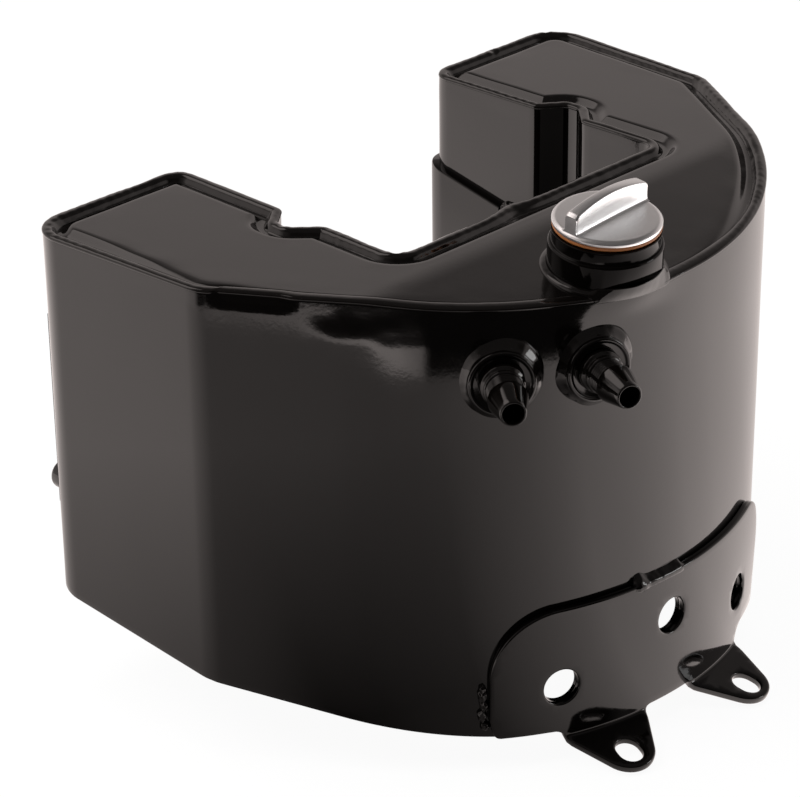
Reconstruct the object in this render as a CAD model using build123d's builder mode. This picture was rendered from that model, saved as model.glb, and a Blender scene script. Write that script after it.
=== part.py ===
from build123d import *
import os
from math import sin, cos, tan, radians, degrees, atan2, hypot, acos, pi

os.makedirs("parts", exist_ok=True)

# Horseshoe oil tank for a motorcycle, millimetres.
# +X across the machine, +Y towards the open ends of the two arms, +Z up.
# Origin: midway between the two slots at the lower front, on the tabs' underside.
# The tank's own datum (centre plane, battery-side wall, rim of the lid) is
# written in "tank" coordinates and moved by CX, CY, CZ.
CX, CY, CZ = 5.1, 81.1, 178.9

# ---- plan of the shell (tank coordinates, outside faces) ----
END_Y = 112.1          # rear ends of the arms
OUT_END = 138.6        # half width at the arm ends
OUT_BEND = 133.7       # half width at the side bend
BEND_Y = 30.7          # where the sides turn towards the front
FRONT_R = 128.1        # radius of the rounded front
FRONT_CY = 58.8        # its centre on the centre plane
IN_END = 65.8          # half width of the battery bay at the arm ends
IN_BASE = 68.0         # half width of the battery bay at its bottom
R_END_OUT, R_END_IN, R_BEND, R_BASE = 15.0, 9.0, 16.0, 6.0
GRV_Y1, GRV_Y2, GRV_Y3, GRV_Y4 = 57.5, 50.5, 44.5, 35.5   # clearance groove in each arm
GRV_X = 76.0
WALL = 1.6

# ---- heights ----
FOLD_Y = -18.0         # crease of the lid
LID_SLOPE = 7.5        # degrees, the lid falls towards the front
FLANGE_Z = -2.0        # lid flange, below the rim
PANEL_Z = 0.4          # raised panel of the lid
BOT_REAR, BOT_BEND, BOT_FRONT = -139.9, -150.9, -174.4
BOT_FRONT_Y = FRONT_CY - FRONT_R
SKIRT_Z = -172.2       # lower edge of the shell behind the bracket

# ---- recess under the front, between the bracket and the battery bay ----
REC_X1, REC_X2, REC_Y, REC_Z = -62.0, 53.0, -14.0, -124.0

# ---- front bracket ----
BR_T = 3.0
BR_CX = -4.5
BR_L, BR_R = -75.0, 67.5
BR_TOP = -120.5
BR_CORNER_L, BR_CORNER_R = 25.5, 20.0
BR_LOW = -171.8        # lower edge of the plate outside the tabs
TAB_CX = -5.15         # middle of the two tabs
TAB_DX = 31.75         # slots 63.5 apart
TAB_SLOPE = 14.85      # degrees, the tabs fall towards the front
TAB_Z0 = -172.5        # the tabs' upper face where it would meet the plate's front
TAB_BEND = 3.0         # inner bend radius
TAB_REACH = 11.5       # centre of the rounded tip, ahead of the plate
TAB_TIP_R = 10.4
TAB_TAPER = 24.9       # degrees, each side
SLOT_U = 13.2          # slot centre, ahead of the plate
SLOT_W, SLOT_L = 9.2, 10.8
HOLE_R = 6.8
HOLES = [(-51.6, -151.7), (-4.5, -138.6), (42.6, -151.7)]

# ---- filler ----
NECK_X, NECK_Y = -22.1, -52.0
NECK_TILT_X, NECK_TILT_Y = -3.3, -5.2    # degrees, lean of the neck to the left and to the front
NECK_R = 19.7
NECK_STEP, NECK_MOUTH = 11.6, 16.4       # step and mouth above the lid
SEAL_T = 1.8
CAP_R = 18.7
CAP_T = 2.1
HANDLE_T, HANDLE_END, HANDLE_MID = 5.3, 6.6, 9.4

# ---- hose spigots on the front: position angle, pointing angle, height ----
SPIG = [(-33.2, -38.5, -29.2), (-18.0, -23.0, -30.2)]


def zb(y):
    """Lower edge of the shell at y."""
    if y >= BEND_Y:
        return BOT_BEND + (y - BEND_Y) * (BOT_REAR - BOT_BEND) / (END_Y - BEND_Y)
    return BOT_BEND + (y - BEND_Y) * (BOT_FRONT - BOT_BEND) / (BOT_FRONT_Y - BEND_Y)


def zt(y):
    """Rim height at y."""
    return 0.0 if y >= FOLD_Y else (y - FOLD_Y) * tan(radians(LID_SLOPE))


def W(x, y, z=0.0):
    return (x + CX, y + CY, z + CZ)


def xin(y):
    return IN_BASE + (IN_END - IN_BASE) * y / END_Y


def tangent():
    """Unit direction from the front's centre to its left tangent point."""
    px, py = -OUT_BEND, BEND_Y - FRONT_CY
    d = hypot(px, py)
    a = atan2(py, px) + acos(FRONT_R / d)
    return cos(a), sin(a)


TX, TY = tangent()
TH_T = degrees(atan2(TX, -TY))      # its angle from straight ahead, negative on the left

# corner list, counter-clockwise with the metal on the left
RING = [
    ((IN_END, END_Y), R_END_IN, 1),
    ((xin(GRV_Y1), GRV_Y1), 3.5, 1), ((GRV_X, GRV_Y2), 3.0, -1),
    ((GRV_X, GRV_Y3), 3.0, -1), ((xin(GRV_Y4), GRV_Y4), 4.5, 1),
    ((IN_BASE, 0.0), R_BASE, -1), ((-IN_BASE, 0.0), R_BASE, -1),
    ((-xin(GRV_Y4), GRV_Y4), 4.5, 1), ((-GRV_X, GRV_Y3), 3.0, -1),
    ((-GRV_X, GRV_Y2), 3.0, -1), ((-xin(GRV_Y1), GRV_Y1), 3.5, 1),
    ((-IN_END, END_Y), R_END_IN, 1), ((-OUT_END, END_Y), R_END_OUT, 1),
    ((-OUT_BEND, BEND_Y), R_BEND, 1),
    ((TX * FRONT_R, FRONT_CY + TY * FRONT_R), None, 0),
    ((-TX * FRONT_R, FRONT_CY + TY * FRONT_R), None, 0),
    ((OUT_BEND, BEND_Y), R_BEND, 1), ((OUT_END, END_Y), R_END_OUT, 1),
]
ARC_I = 14      # the edge after this corner is the front arc


def corners(d):
    """Corners of the plan moved into the metal by d, with their corner radii."""
    n = len(RING)
    lines = []
    for i in range(n):
        (x0, y0), (x1, y1) = RING[i][0], RING[(i + 1) % n][0]
        if i == ARC_I:
            lines.append(None)
            continue
        L = hypot(x1 - x0, y1 - y0)
        ux, uy = (x1 - x0) / L, (y1 - y0) / L
        lines.append((x0 - uy * d, y0 + ux * d, ux, uy))
    out = []
    for i in range(n):
        p, r, c = RING[i]
        if c == 0:
            s = -1 if i == ARC_I else 1
            out.append(((-s * TX * (FRONT_R - d), FRONT_CY + TY * (FRONT_R - d)), None))
            continue
        ax, ay, aux, auy = lines[i - 1]
        bx, by, bux, buy = lines[i]
        det = aux * buy - auy * bux
        t = ((bx - ax) * buy - (by - ay) * bux) / det
        rr = r - d if c == 1 else r + d
        out.append(((ax + aux * t, ay + auy * t), max(rr, 0.8)))
    return out


def plan(d, plane, rmin=0.8):
    """Closed U-shaped sketch of the plan moved inwards by d."""
    cs = corners(d)

    def q(p):
        return (p[0] + CX, p[1] + CY)

    with BuildSketch(plane) as sk:
        with BuildLine():
            for i in range(len(cs)):
                a, b = q(cs[i][0]), q(cs[(i + 1) % len(cs)][0])
                if i == ARC_I:
                    ThreePointArc(a, q((0.0, FRONT_CY - (FRONT_R - d))), b)
                else:
                    Line(a, b)
        make_face()
        for p, r in cs:
            if r is None:
                continue
            v = sk.vertices().sort_by_distance(Vector(*q(p)))[0]
            fillet(v, max(r, rmin))
    return sk.sketch


def side_prism(pts, x0=-170.0, x1=170.0):
    """Prism across the tank from a side view given as (y, z) points."""
    with BuildPart() as pr:
        with BuildSketch(Plane(origin=(x0 + CX, CY, CZ), x_dir=(0, 1, 0), z_dir=(1, 0, 0))):
            with BuildLine():
                Polyline(*pts, close=True)
            make_face()
        extrude(amount=x1 - x0)
    return pr.part


def block(x0, x1, y0, y1, z0, z1):
    with BuildPart() as bl:
        with BuildSketch(Plane.XY.offset(z0 + CZ)):
            with Locations(((x0 + x1) / 2 + CX, (y0 + y1) / 2 + CY)):
                Rectangle(x1 - x0, y1 - y0)
        extrude(amount=z1 - z0)
    return bl.part


def top_line(dz, y0=125.0, y1=-90.0):
    """Side view points of the lid surface, moved up by dz, rear to front."""
    s = radians(LID_SLOPE)
    k = dz / cos(s)
    yf = FOLD_Y - (k - dz) / tan(s) if abs(dz) > 1e-9 else FOLD_Y
    return [(y0, dz), (yf, dz), (y1, (y1 - FOLD_Y) * tan(s) + k)]


def shell_side(z_up=0.0):
    """Side view of the walls between rim and lower edge."""
    t = top_line(z_up)
    yk = BEND_Y + (SKIRT_Z - BOT_BEND) * (BOT_FRONT_Y - BEND_Y) / (BOT_FRONT - BOT_BEND)
    return side_prism(t + [(-90.0, SKIRT_Z), (yk, SKIRT_Z), (BEND_Y, BOT_BEND),
                           (125.0, zb(125.0))])


BASE = Plane.XY.offset(CZ - 200.0)
U0 = plan(0.0, BASE)
U1 = plan(WALL, BASE)
walls = shell_side()
SEAM_X = 102.0


def radial(theta, r, z):
    """Point at angle theta (degrees, + to the right of straight ahead) and radius r."""
    t = radians(theta)
    return W(r * sin(t), FRONT_CY - r * cos(t), z)


def out_dir(theta):
    t = radians(theta)
    return (sin(t), -cos(t), 0.0)


def radial_plane(theta, r, z, point=None):
    return Plane(origin=radial(theta, r, z), x_dir=(cos(radians(point if point is not None else theta)),
                 sin(radians(point if point is not None else theta)), 0),
                 z_dir=out_dir(point if point is not None else theta))


def theta_at(x, r):
    return degrees(atan2(x / r, (1 - (x / r) ** 2) ** 0.5))


# ------------------------------------------------------------------ walls
with BuildPart() as outer_wall:
    with BuildSketch(BASE):
        add(U0)
        add(U1, mode=Mode.SUBTRACT)
        with Locations((CX, CY + 60.0)):
            Rectangle(2 * SEAM_X, 126.0, mode=Mode.SUBTRACT)
    extrude(amount=215.0)
    add(walls, mode=Mode.INTERSECT)
    # lightening holes, through the skirt behind the bracket
    for hx, hz in HOLES:
        th = theta_at(hx, FRONT_R + BR_T)
        with BuildSketch(radial_plane(th, FRONT_R, hz)):
            Circle(HOLE_R)
        extrude(amount=8.0, both=True, mode=Mode.SUBTRACT)
    # holes for the two spigot bosses
    for pos, ang, hz in SPIG:
        with BuildSketch(radial_plane(pos, FRONT_R, hz, ang)):
            Circle(9.5)
        extrude(amount=10.0, both=True, mode=Mode.SUBTRACT)

with BuildPart() as inner_wall:
    with BuildSketch(BASE):
        add(U0)
        add(U1, mode=Mode.SUBTRACT)
        with Locations((CX, CY + 60.0)):
            Rectangle(2 * SEAM_X, 126.0, mode=Mode.INTERSECT)
    extrude(amount=215.0)
    add(walls, mode=Mode.INTERSECT)

# ------------------------------------------------------------------ lid
lid_strip = side_prism(top_line(FLANGE_Z) + top_line(FLANGE_Z - WALL)[::-1])
PANEL_H = PANEL_Z - FLANGE_Z
BEVEL_IN, BEVEL_OUT = 10.3, 7.9
slope_pl = Plane(origin=W(0, FOLD_Y, FLANGE_Z), x_dir=(1, 0, 0),
                 z_dir=(0, -sin(radians(LID_SLOPE)), cos(radians(LID_SLOPE))))
fold_cut = Plane(origin=W(0, FOLD_Y, 0), x_dir=(1, 0, 0), z_dir=(0, 1, 0))
neck_n = Vector(sin(radians(NECK_TILT_X)), sin(radians(NECK_TILT_Y)),
                (1 - sin(radians(NECK_TILT_X)) ** 2 - sin(radians(NECK_TILT_Y)) ** 2) ** 0.5)
neck_x = (Vector(1, 0, 0) - neck_n * neck_n.X).normalized()
neck = Plane(origin=W(NECK_X, NECK_Y, zt(NECK_Y) + PANEL_Z), x_dir=neck_x, z_dir=neck_n)


def rp_of(pl):
    """Plane with x radial and y along the turned axis."""
    return Plane(origin=pl.origin, x_dir=pl.x_dir, z_dir=pl.x_dir.cross(pl.z_dir))


def turned(pts, pl):
    """Solid turned from (radius, height) points about the plane's normal."""
    with BuildPart() as tn:
        with BuildSketch(rp_of(pl)):
            with BuildLine():
                Polyline(*pts, close=True)
            make_face()
        revolve(axis=Axis(pl.origin, pl.z_dir))
    return tn.part


def slope_plan(d, dz):
    """The plan drawn on the sloping part of the lid, dz above its flange."""
    loc = Plane(origin=slope_pl.origin + slope_pl.z_dir * dz, x_dir=slope_pl.x_dir, z_dir=slope_pl.z_dir)
    cs = corners(d)

    def q(p):
        return (p[0], (p[1] - FOLD_Y) / cos(radians(LID_SLOPE)))
    with BuildSketch(loc) as sk:
        with BuildLine():
            for i in range(len(cs)):
                a, b = q(cs[i][0]), q(cs[(i + 1) % len(cs)][0])
                if i == ARC_I:
                    ThreePointArc(a, q((0.0, FRONT_CY - (FRONT_R - d))), b)
                else:
                    Line(a, b)
        make_face()
        for p, r in cs:
            if r is None:
                continue
            v = sk.vertices().sort_by_distance(Vector(*q(p)))[0]
            fillet(v, r)
    return sk.sketch


def panel_block(d0, d1, z0, z1):
    """Raised part of the lid: flat behind the crease, sloping ahead of it."""
    with BuildPart() as flat:
        loft([plan(d0, Plane.XY.offset(CZ + FLANGE_Z + z0)).faces()[0],
              plan(d1, Plane.XY.offset(CZ + FLANGE_Z + z1)).faces()[0]], ruled=True)
        split(bisect_by=fold_cut, keep=Keep.TOP)
    with BuildPart() as slp:
        loft([slope_plan(d0, z0).faces()[0], slope_plan(d1, z1).faces()[0]], ruled=True)
        split(bisect_by=fold_cut, keep=Keep.BOTTOM)
    return flat.part, slp.part


with BuildPart() as top_plate:
    with BuildSketch(BASE):
        add(U1)
    extrude(amount=215.0)
    add(lid_strip, mode=Mode.INTERSECT)
    for s in panel_block(BEVEL_OUT, BEVEL_IN, 0.0, PANEL_H):
        add(s)
    for s in panel_block(BEVEL_OUT + 1.4, BEVEL_IN + 1.4, -WALL, PANEL_H - WALL):
        add(s, mode=Mode.SUBTRACT)
    # hole for the filler neck
    with BuildSketch(neck):
        Circle(12.7)
    extrude(amount=14.0, both=True, mode=Mode.SUBTRACT)

# seam between the lid's flange and the walls; it laps over the walls' edge
with BuildPart() as lip:
    with BuildSketch(BASE):
        add(plan(-0.35, BASE))
        add(U1, mode=Mode.SUBTRACT)
    extrude(amount=215.0)
    add(side_prism(top_line(0.75) + top_line(-1.0)[::-1]), mode=Mode.INTERSECT)
    add(outer_wall.part, mode=Mode.SUBTRACT)
    add(inner_wall.part, mode=Mode.SUBTRACT)
weld_lip = lip.part
with BuildPart() as top_weld:
    with BuildSketch(BASE):
        add(U1)
        add(plan(4.6, BASE), mode=Mode.SUBTRACT)
    extrude(amount=215.0)
    add(side_prism(top_line(0.75) + top_line(FLANGE_Z)[::-1]), mode=Mode.INTERSECT)
    add(weld_lip)
    add(turned([(0, -8.0), (NECK_R, -8.0), (NECK_R, 8.0), (0, 8.0)], neck), mode=Mode.SUBTRACT)

# ------------------------------------------------------------------ floor
yk = BEND_Y + (SKIRT_Z - BOT_BEND) * (BOT_FRONT_Y - BEND_Y) / (BOT_FRONT - BOT_BEND)


def floor_line(dz):
    return [(125.0, zb(125.0) + dz), (BEND_Y, BOT_BEND + dz), (yk, SKIRT_Z + dz), (-90.0, SKIRT_Z + dz)]


floor_strip = side_prism(floor_line(2.6) + floor_line(1.0)[::-1])
FEED = (-84.0, -6.0)
DRAIN = (80.0, -6.0)
feed_z = zb(FEED[1]) + 1.0
drain_z = zb(DRAIN[1]) + 1.0
floor_ang = degrees(atan2(BOT_BEND - BOT_FRONT, BEND_Y - BOT_FRONT_Y))
floor_n = (0, sin(radians(floor_ang)), -cos(radians(floor_ang)))


def floor_plane(x, y, dz=1.0):
    return Plane(origin=W(x, y, zb(y) + dz), x_dir=(1, 0, 0), z_dir=floor_n)


with BuildPart() as bottom_plate:
    with BuildSketch(BASE):
        add(U1)
    extrude(amount=215.0)
    add(floor_strip, mode=Mode.INTERSECT)
    add(block(REC_X1 - WALL, REC_X2 + WALL, -90.0, REC_Y + WALL, -185.0, -100.0), mode=Mode.SUBTRACT)
    for fx, fy in (FEED, DRAIN):
        with BuildSketch(floor_plane(fx, fy)):
            Circle(8.0)
        extrude(amount=8.0, both=True, mode=Mode.SUBTRACT)

with BuildPart() as recess_box:
    with BuildSketch(BASE):
        add(U1)
    extrude(amount=215.0)
    add(block(REC_X1 - WALL, REC_X2 + WALL, -90.0, REC_Y + WALL, -190.0, REC_Z + WALL), mode=Mode.INTERSECT)
    add(block(REC_X1, REC_X2, -90.0, REC_Y, -191.0, REC_Z), mode=Mode.SUBTRACT)
    add(side_prism(floor_line(1.0) + [(-90.0, -100.0), (125.0, -100.0)]), mode=Mode.INTERSECT)

with BuildPart() as bottom_weld:
    with BuildSketch(BASE):
        add(U1)
        add(plan(4.2, BASE), mode=Mode.SUBTRACT)
    extrude(amount=215.0)
    add(side_prism(floor_line(1.0) + floor_line(0.1)[::-1]), mode=Mode.INTERSECT)
    add(block(REC_X1 - WALL, REC_X2 + WALL, -90.0, -20.0, -185.0, -100.0), mode=Mode.SUBTRACT)

# ------------------------------------------------------------------ front bracket
AX = Axis(W(0, FRONT_CY, 0), (0, 0, 1))
R1, R2 = FRONT_R, FRONT_R + BR_T
tab_th = [degrees(atan2(x, ((R2 + SLOT_U) ** 2 - x ** 2) ** 0.5)) for x in (TAB_CX - TAB_DX, TAB_CX + TAB_DX)]
tsn, tcs = sin(radians(TAB_SLOPE)), cos(radians(TAB_SLOPE))
bend_z = TAB_Z0 - TAB_BEND * tsn / tcs + TAB_BEND / tcs      # height where the bend starts
foot_u = TAB_BEND * (1 - tsn)                                # where it ends on the upper face


def tab_plane(th):
    """Upper face of a tab, x along the bend, -y towards the tip."""
    t = radians(th)
    return Plane(origin=radial(th, R2 + foot_u, TAB_Z0 - foot_u * tsn / tcs), x_dir=(cos(t), sin(t), 0),
                 z_dir=(sin(t) * tsn, -cos(t) * tsn, tcs))


tap = radians(TAB_TAPER)
tip_y = -(TAB_REACH - foot_u) / tcs
tx_side, ty_side = TAB_TIP_R * cos(tap), tip_y - TAB_TIP_R * sin(tap)
root_y = 1.25
root_x = tx_side + (root_y - ty_side) * tan(tap)
with BuildPart() as front_bracket:
    with BuildSketch(Plane.XY.offset(CZ + BR_LOW - 1.0)):
        with Locations((CX, CY + FRONT_CY)):
            Circle(R2)
            Circle(R1, mode=Mode.SUBTRACT)
        with Locations((CX, CY - 60.0)):
            Rectangle(220.0, 60.0, mode=Mode.INTERSECT)
    extrude(amount=60.0)
    # front view of the plate, with rounded corners
    with BuildSketch(Plane(origin=W(0, -20.0, 0), x_dir=(1, 0, 0), z_dir=(0, -1, 0))) as fv:
        with BuildLine():
            Polyline((BR_L, BR_TOP), (BR_L, -160.0), (-73.4, -168.4), (-54.5, -169.8), (-50.5, BR_LOW), (45.5, BR_LOW),
                     (46.5, -167.2), (61.0, -166.6), (BR_R, -141.0), (BR_R, BR_TOP), close=True)
        make_face()
        fillet([v for v in fv.vertices() if abs(v.Y - BR_TOP) < 0.1 and v.X < 0], BR_CORNER_L)
        fillet([v for v in fv.vertices() if abs(v.Y - BR_TOP) < 0.1 and v.X > BR_R - 0.1], BR_CORNER_R)
        fillet([v for v in fv.vertices() if (abs(v.X + 73.4) < 0.1 or abs(v.X - 61.0) < 0.1)], 3.0)
    extrude(amount=80.0, mode=Mode.INTERSECT)
    # tabs, bent outwards
    for th in tab_th:
        half = degrees(atan2(root_x - 0.2, R2 + foot_u))
        t0, t1 = th - half, th + half
        # the plate ends where the bend starts
        with BuildSketch(Plane(origin=radial(t0, R1 - 1.0, bend_z), x_dir=out_dir(t0), z_dir=(-cos(radians(t0)), -sin(radians(t0)), 0))):
            with BuildLine():
                Polyline((0, 0), (6.0, 0), (6.0, -6.0), (0, -6.0), close=True)
            make_face()
        revolve(axis=AX, revolution_arc=t1 - t0, mode=Mode.SUBTRACT)
        with BuildSketch(Plane(origin=radial(t0, R2 + TAB_BEND, bend_z), x_dir=out_dir(t0), z_dir=(-cos(radians(t0)), -sin(radians(t0)), 0))) as bend:
            Circle(TAB_BEND + BR_T)
            Circle(TAB_BEND, mode=Mode.SUBTRACT)
            with BuildLine():
                Polyline((0, 0), (-14.0, 0), (-14.0, -14.0), (-14.0 * tsn / tcs, -14.0), close=True)
            make_face(mode=Mode.INTERSECT)
        revolve(axis=AX, revolution_arc=t1 - t0)
        with BuildSketch(tab_plane(th)) as tab:
            with BuildLine():
                ThreePointArc((-root_x, root_y), (0, 0.3), (root_x, root_y))
                Polyline((root_x, root_y), (tx_side, ty_side))
                ThreePointArc((tx_side, ty_side), (0, tip_y - TAB_TIP_R), (-tx_side, ty_side))
                Polyline((-tx_side, ty_side), (-root_x, root_y))
            make_face()
            with Locations((0, -(SLOT_U - foot_u) / tcs)):
                SlotOverall(SLOT_L, SLOT_W, rotation=90, mode=Mode.SUBTRACT)
        extrude(amount=-BR_T)
    for hx, hz in HOLES:
        th = theta_at(hx, R2)
        with BuildSketch(radial_plane(th, FRONT_R, hz)):
            Circle(HOLE_R)
        extrude(amount=8.0, both=True, mode=Mode.SUBTRACT)


def arc_bead(z, x0, x1, leg):
    """Fillet weld on the bracket's upper edge, along the shell."""
    t0, t1 = theta_at(x0, R1), theta_at(x1, R1)
    with BuildPart() as bd:
        with BuildSketch(Plane(origin=radial(t0, R1, z), x_dir=out_dir(t0), z_dir=(-cos(radians(t0)), -sin(radians(t0)), 0))):
            with BuildLine():
                Polyline((0, 0), (leg * 0.95, 0))
                ThreePointArc((leg * 0.95, 0), (leg * 0.62, leg * 0.36), (0, leg * 0.5))
                Polyline((0, leg * 0.5), (0, 0))
            make_face()
        revolve(axis=AX, revolution_arc=t1 - t0)
    return bd.part


with BuildPart() as bracket_welds:
    add(arc_bead(BR_TOP, -21.5, 1.5, 3.0))
    # short runs up the two vertical edges
    for bx, s, zs in ((BR_L, -1, ((-158.5, 6.5), (-149.5, 5.5))), (BR_R, 1, ((-141.0, 3.5),))):
        for z0, h in zs:
            with BuildSketch(Plane(origin=W(bx, FRONT_CY - (R1 ** 2 - bx ** 2) ** 0.5, z0), x_dir=(s, 0, 0), z_dir=(0, 0, 1))):
                with BuildLine():
                    # the bead lies against the plate's edge and the shell
                    y_sh = [(R1 ** 2 - (bx + s * u) ** 2) ** 0.5 for u in (0.0, 1.7, 3.4)]
                    sg = -s
                    Polyline((0, 0), (0, sg * -2.8))
                    ThreePointArc((0, sg * -2.8), (2.3, sg * (-1.55 + (y_sh[0] - y_sh[1]) * 1.0)), (3.4, sg * ((y_sh[0] - y_sh[2]))))
                    ThreePointArc((3.4, sg * (y_sh[0] - y_sh[2])), (1.7, sg * (y_sh[0] - y_sh[1])), (0, 0))
                make_face()
            extrude(amount=h)
    with BuildSketch(BASE):
        add(U0)
    extrude(amount=215.0, mode=Mode.SUBTRACT)

# ------------------------------------------------------------------ filler neck, cap, seal
below_lid = side_prism(top_line(PANEL_Z + 0.03) + [(-90.0, -60.0), (125.0, -60.0)])
H1, H2 = NECK_STEP, NECK_MOUTH
with BuildPart() as filler_neck:
    add(turned([(10.6, -6.0), (NECK_R, -6.0), (NECK_R, 4.4), (10.6, 4.4)], neck))
    add(below_lid, mode=Mode.SUBTRACT)
    add(turned([(15.3, 4.0), (NECK_R, 4.0), (NECK_R, H1 - 0.9), (NECK_R - 0.5, H1), (18.5, H1), (18.5, H2 - 0.9),
                (18.9, H2 - 0.7), (18.9, H2), (15.3, H2)], neck))
    add(turned([(10.6, -6.0), (12.6, -6.0), (12.6, 2.0), (10.6, 2.0)], neck))

# weld round the foot of the neck; in front it builds up the rim, where the neck overhangs the wall
with BuildPart() as neck_weld:
    add(turned([(12.0, -9.5), (14.6, -9.5), (17.6, -6.5), (20.2, -2.6), (21.6, 0.0), (22.0, 0.9), (21.3, 2.2), (19.7, 3.4), (12.0, 3.4)], neck))
    add(turned([(0, -7.0), (12.7, -7.0), (12.7, 20.0), (0, 20.0)], neck), mode=Mode.SUBTRACT)
    add(filler_neck.part, mode=Mode.SUBTRACT)
    add(top_plate.part, mode=Mode.SUBTRACT)
    add(top_weld.part, mode=Mode.SUBTRACT)
    add(outer_wall.part, mode=Mode.SUBTRACT)
    with BuildSketch(BASE):
        add(U0)
    extrude(amount=200.0 + FLANGE_Z - 12.0, mode=Mode.SUBTRACT)
keep_weld = neck_weld.part.solids().sort_by(SortBy.VOLUME)[-1]
with BuildPart() as neck_weld:
    add(keep_weld)

with BuildPart() as cap_seal:
    with BuildSketch(Plane(origin=neck.origin + neck.z_dir * (H2 + 0.05), x_dir=neck.x_dir, z_dir=neck.z_dir)):
        Circle(19.0)
        Circle(15.4, mode=Mode.SUBTRACT)
    extrude(amount=SEAL_T)
    fillet(cap_seal.edges().filter_by(GeomType.CIRCLE).group_by(SortBy.RADIUS)[-1], 0.7)

CAP_H0 = H2 + 0.1 + SEAL_T
cap_pl = Plane(origin=neck.origin + neck.z_dir * CAP_H0, x_dir=neck.x_dir, z_dir=neck.z_dir)
with BuildPart() as filler_cap:
    with BuildSketch(cap_pl):
        Circle(CAP_R)
    extrude(amount=CAP_T)
    chamfer(filler_cap.faces().sort_by(Axis(cap_pl.origin, cap_pl.z_dir))[-1].edges(), 0.5)
    # arched handle across the disc
    with BuildSketch(Plane(origin=cap_pl.origin + cap_pl.y_dir * (0.7 + HANDLE_T / 2), x_dir=cap_pl.x_dir, z_dir=-cap_pl.y_dir)) as hs:
        with BuildLine():
            a = 18.0
            Polyline((-a, CAP_T + HANDLE_END), (-a, CAP_T - 0.6), (a + 0.2, CAP_T - 0.6), (a + 0.2, CAP_T + HANDLE_END))
            ThreePointArc((a + 0.2, CAP_T + HANDLE_END), (0, CAP_T + HANDLE_MID), (-a, CAP_T + HANDLE_END))
        make_face()
    extrude(amount=HANDLE_T)
    top_e = filler_cap.edges().filter_by(lambda e: e.geom_type == GeomType.CIRCLE and e.radius > 25)
    fillet(top_e, 0.8)
    # threaded plug below the disc
    with BuildSketch(cap_pl):
        Circle(15.0)
        Circle(11.6, mode=Mode.SUBTRACT)
    extrude(amount=-12.0)

with BuildPart() as dipstick:
    with BuildSketch(cap_pl):
        Circle(2.0)
    extrude(amount=-88.0)
    with BuildSketch(Plane(origin=cap_pl.origin - cap_pl.z_dir * 88.0, x_dir=cap_pl.x_dir, z_dir=-cap_pl.z_dir)):
        Rectangle(6.0, 1.6)
    extrude(amount=22.0)

# ------------------------------------------------------------------ spigots
BOSS_R = 11.8


spig_pl = [radial_plane(p, FRONT_R, z, a) for p, a, z in SPIG]
boss_parts, weld_parts, spig_parts = [], [], []
for pl in spig_pl:
    boss_parts.append(turned([(5.2, -9.0), (9.4, -9.0), (9.4, 2.2), (BOSS_R, 2.2), (BOSS_R, 4.1), (11.2, 4.7),
                              (10.4, 4.7), (9.7, 4.0), (5.2, 4.0)], pl))
    weld_parts.append(turned([(9.5, 2.15), (9.5, -2.4), (14.6, -2.4), (13.6, 0.6), (12.6, 2.0), (BOSS_R, 2.9), (BOSS_R, 2.15)], pl))
    spig_parts.append(turned([(3.7, -12.0), (5.15, -12.0), (5.15, 4.05), (7.7, 4.05), (7.7, 6.3), (7.2, 6.8), (6.5, 6.8), (6.5, 7.5),
                              (7.0, 7.9), (7.0, 8.9), (6.3, 9.3), (6.3, 15.2), (6.85, 15.5), (6.85, 16.3),
                              (4.5, 26.2), (4.1, 26.6), (3.7, 26.6)], pl))

with BuildPart() as vent_boss:
    add(boss_parts[0])
with BuildPart() as return_boss:
    add(boss_parts[1])
with BuildPart() as vent_spigot:
    add(spig_parts[0])
with BuildPart() as return_spigot:
    add(spig_parts[1])
with BuildPart() as boss_welds:
    add(weld_parts[0])
    add(weld_parts[1])
    # the beads end on the shell's outer face
    with BuildSketch(BASE):
        add(U0)
    extrude(amount=215.0, mode=Mode.SUBTRACT)


def inner_tube(pts, ro, ri):
    """Bent pipe pushed into the back of a boss."""
    with BuildPart() as tb:
        with BuildLine() as path:
            FilletPolyline(*pts, radius=9.0)
        st = path.line @ 0
        tg = path.line % 0
        with BuildSketch(Plane(origin=st, z_dir=tg)):
            Circle(ro)
            Circle(ri, mode=Mode.SUBTRACT)
        sweep(path=path.line)
    return tb.part


vp, rpz = spig_pl
v0 = vp.origin - vp.z_dir * 12.1
v1 = vp.origin - vp.z_dir * 26.0
with BuildPart() as vent_tube:
    add(inner_tube([tuple(v0), tuple(v1), (v1.X, v1.Y, CZ - 9.5)], 4.8, 3.8))
r0 = rpz.origin - rpz.z_dir * 12.1
r1 = rpz.origin - rpz.z_dir * 26.0
with BuildPart() as return_tube:
    add(inner_tube([tuple(r0), tuple(r1), (r1.X, r1.Y, CZ - 95.0)], 4.8, 3.8))

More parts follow.
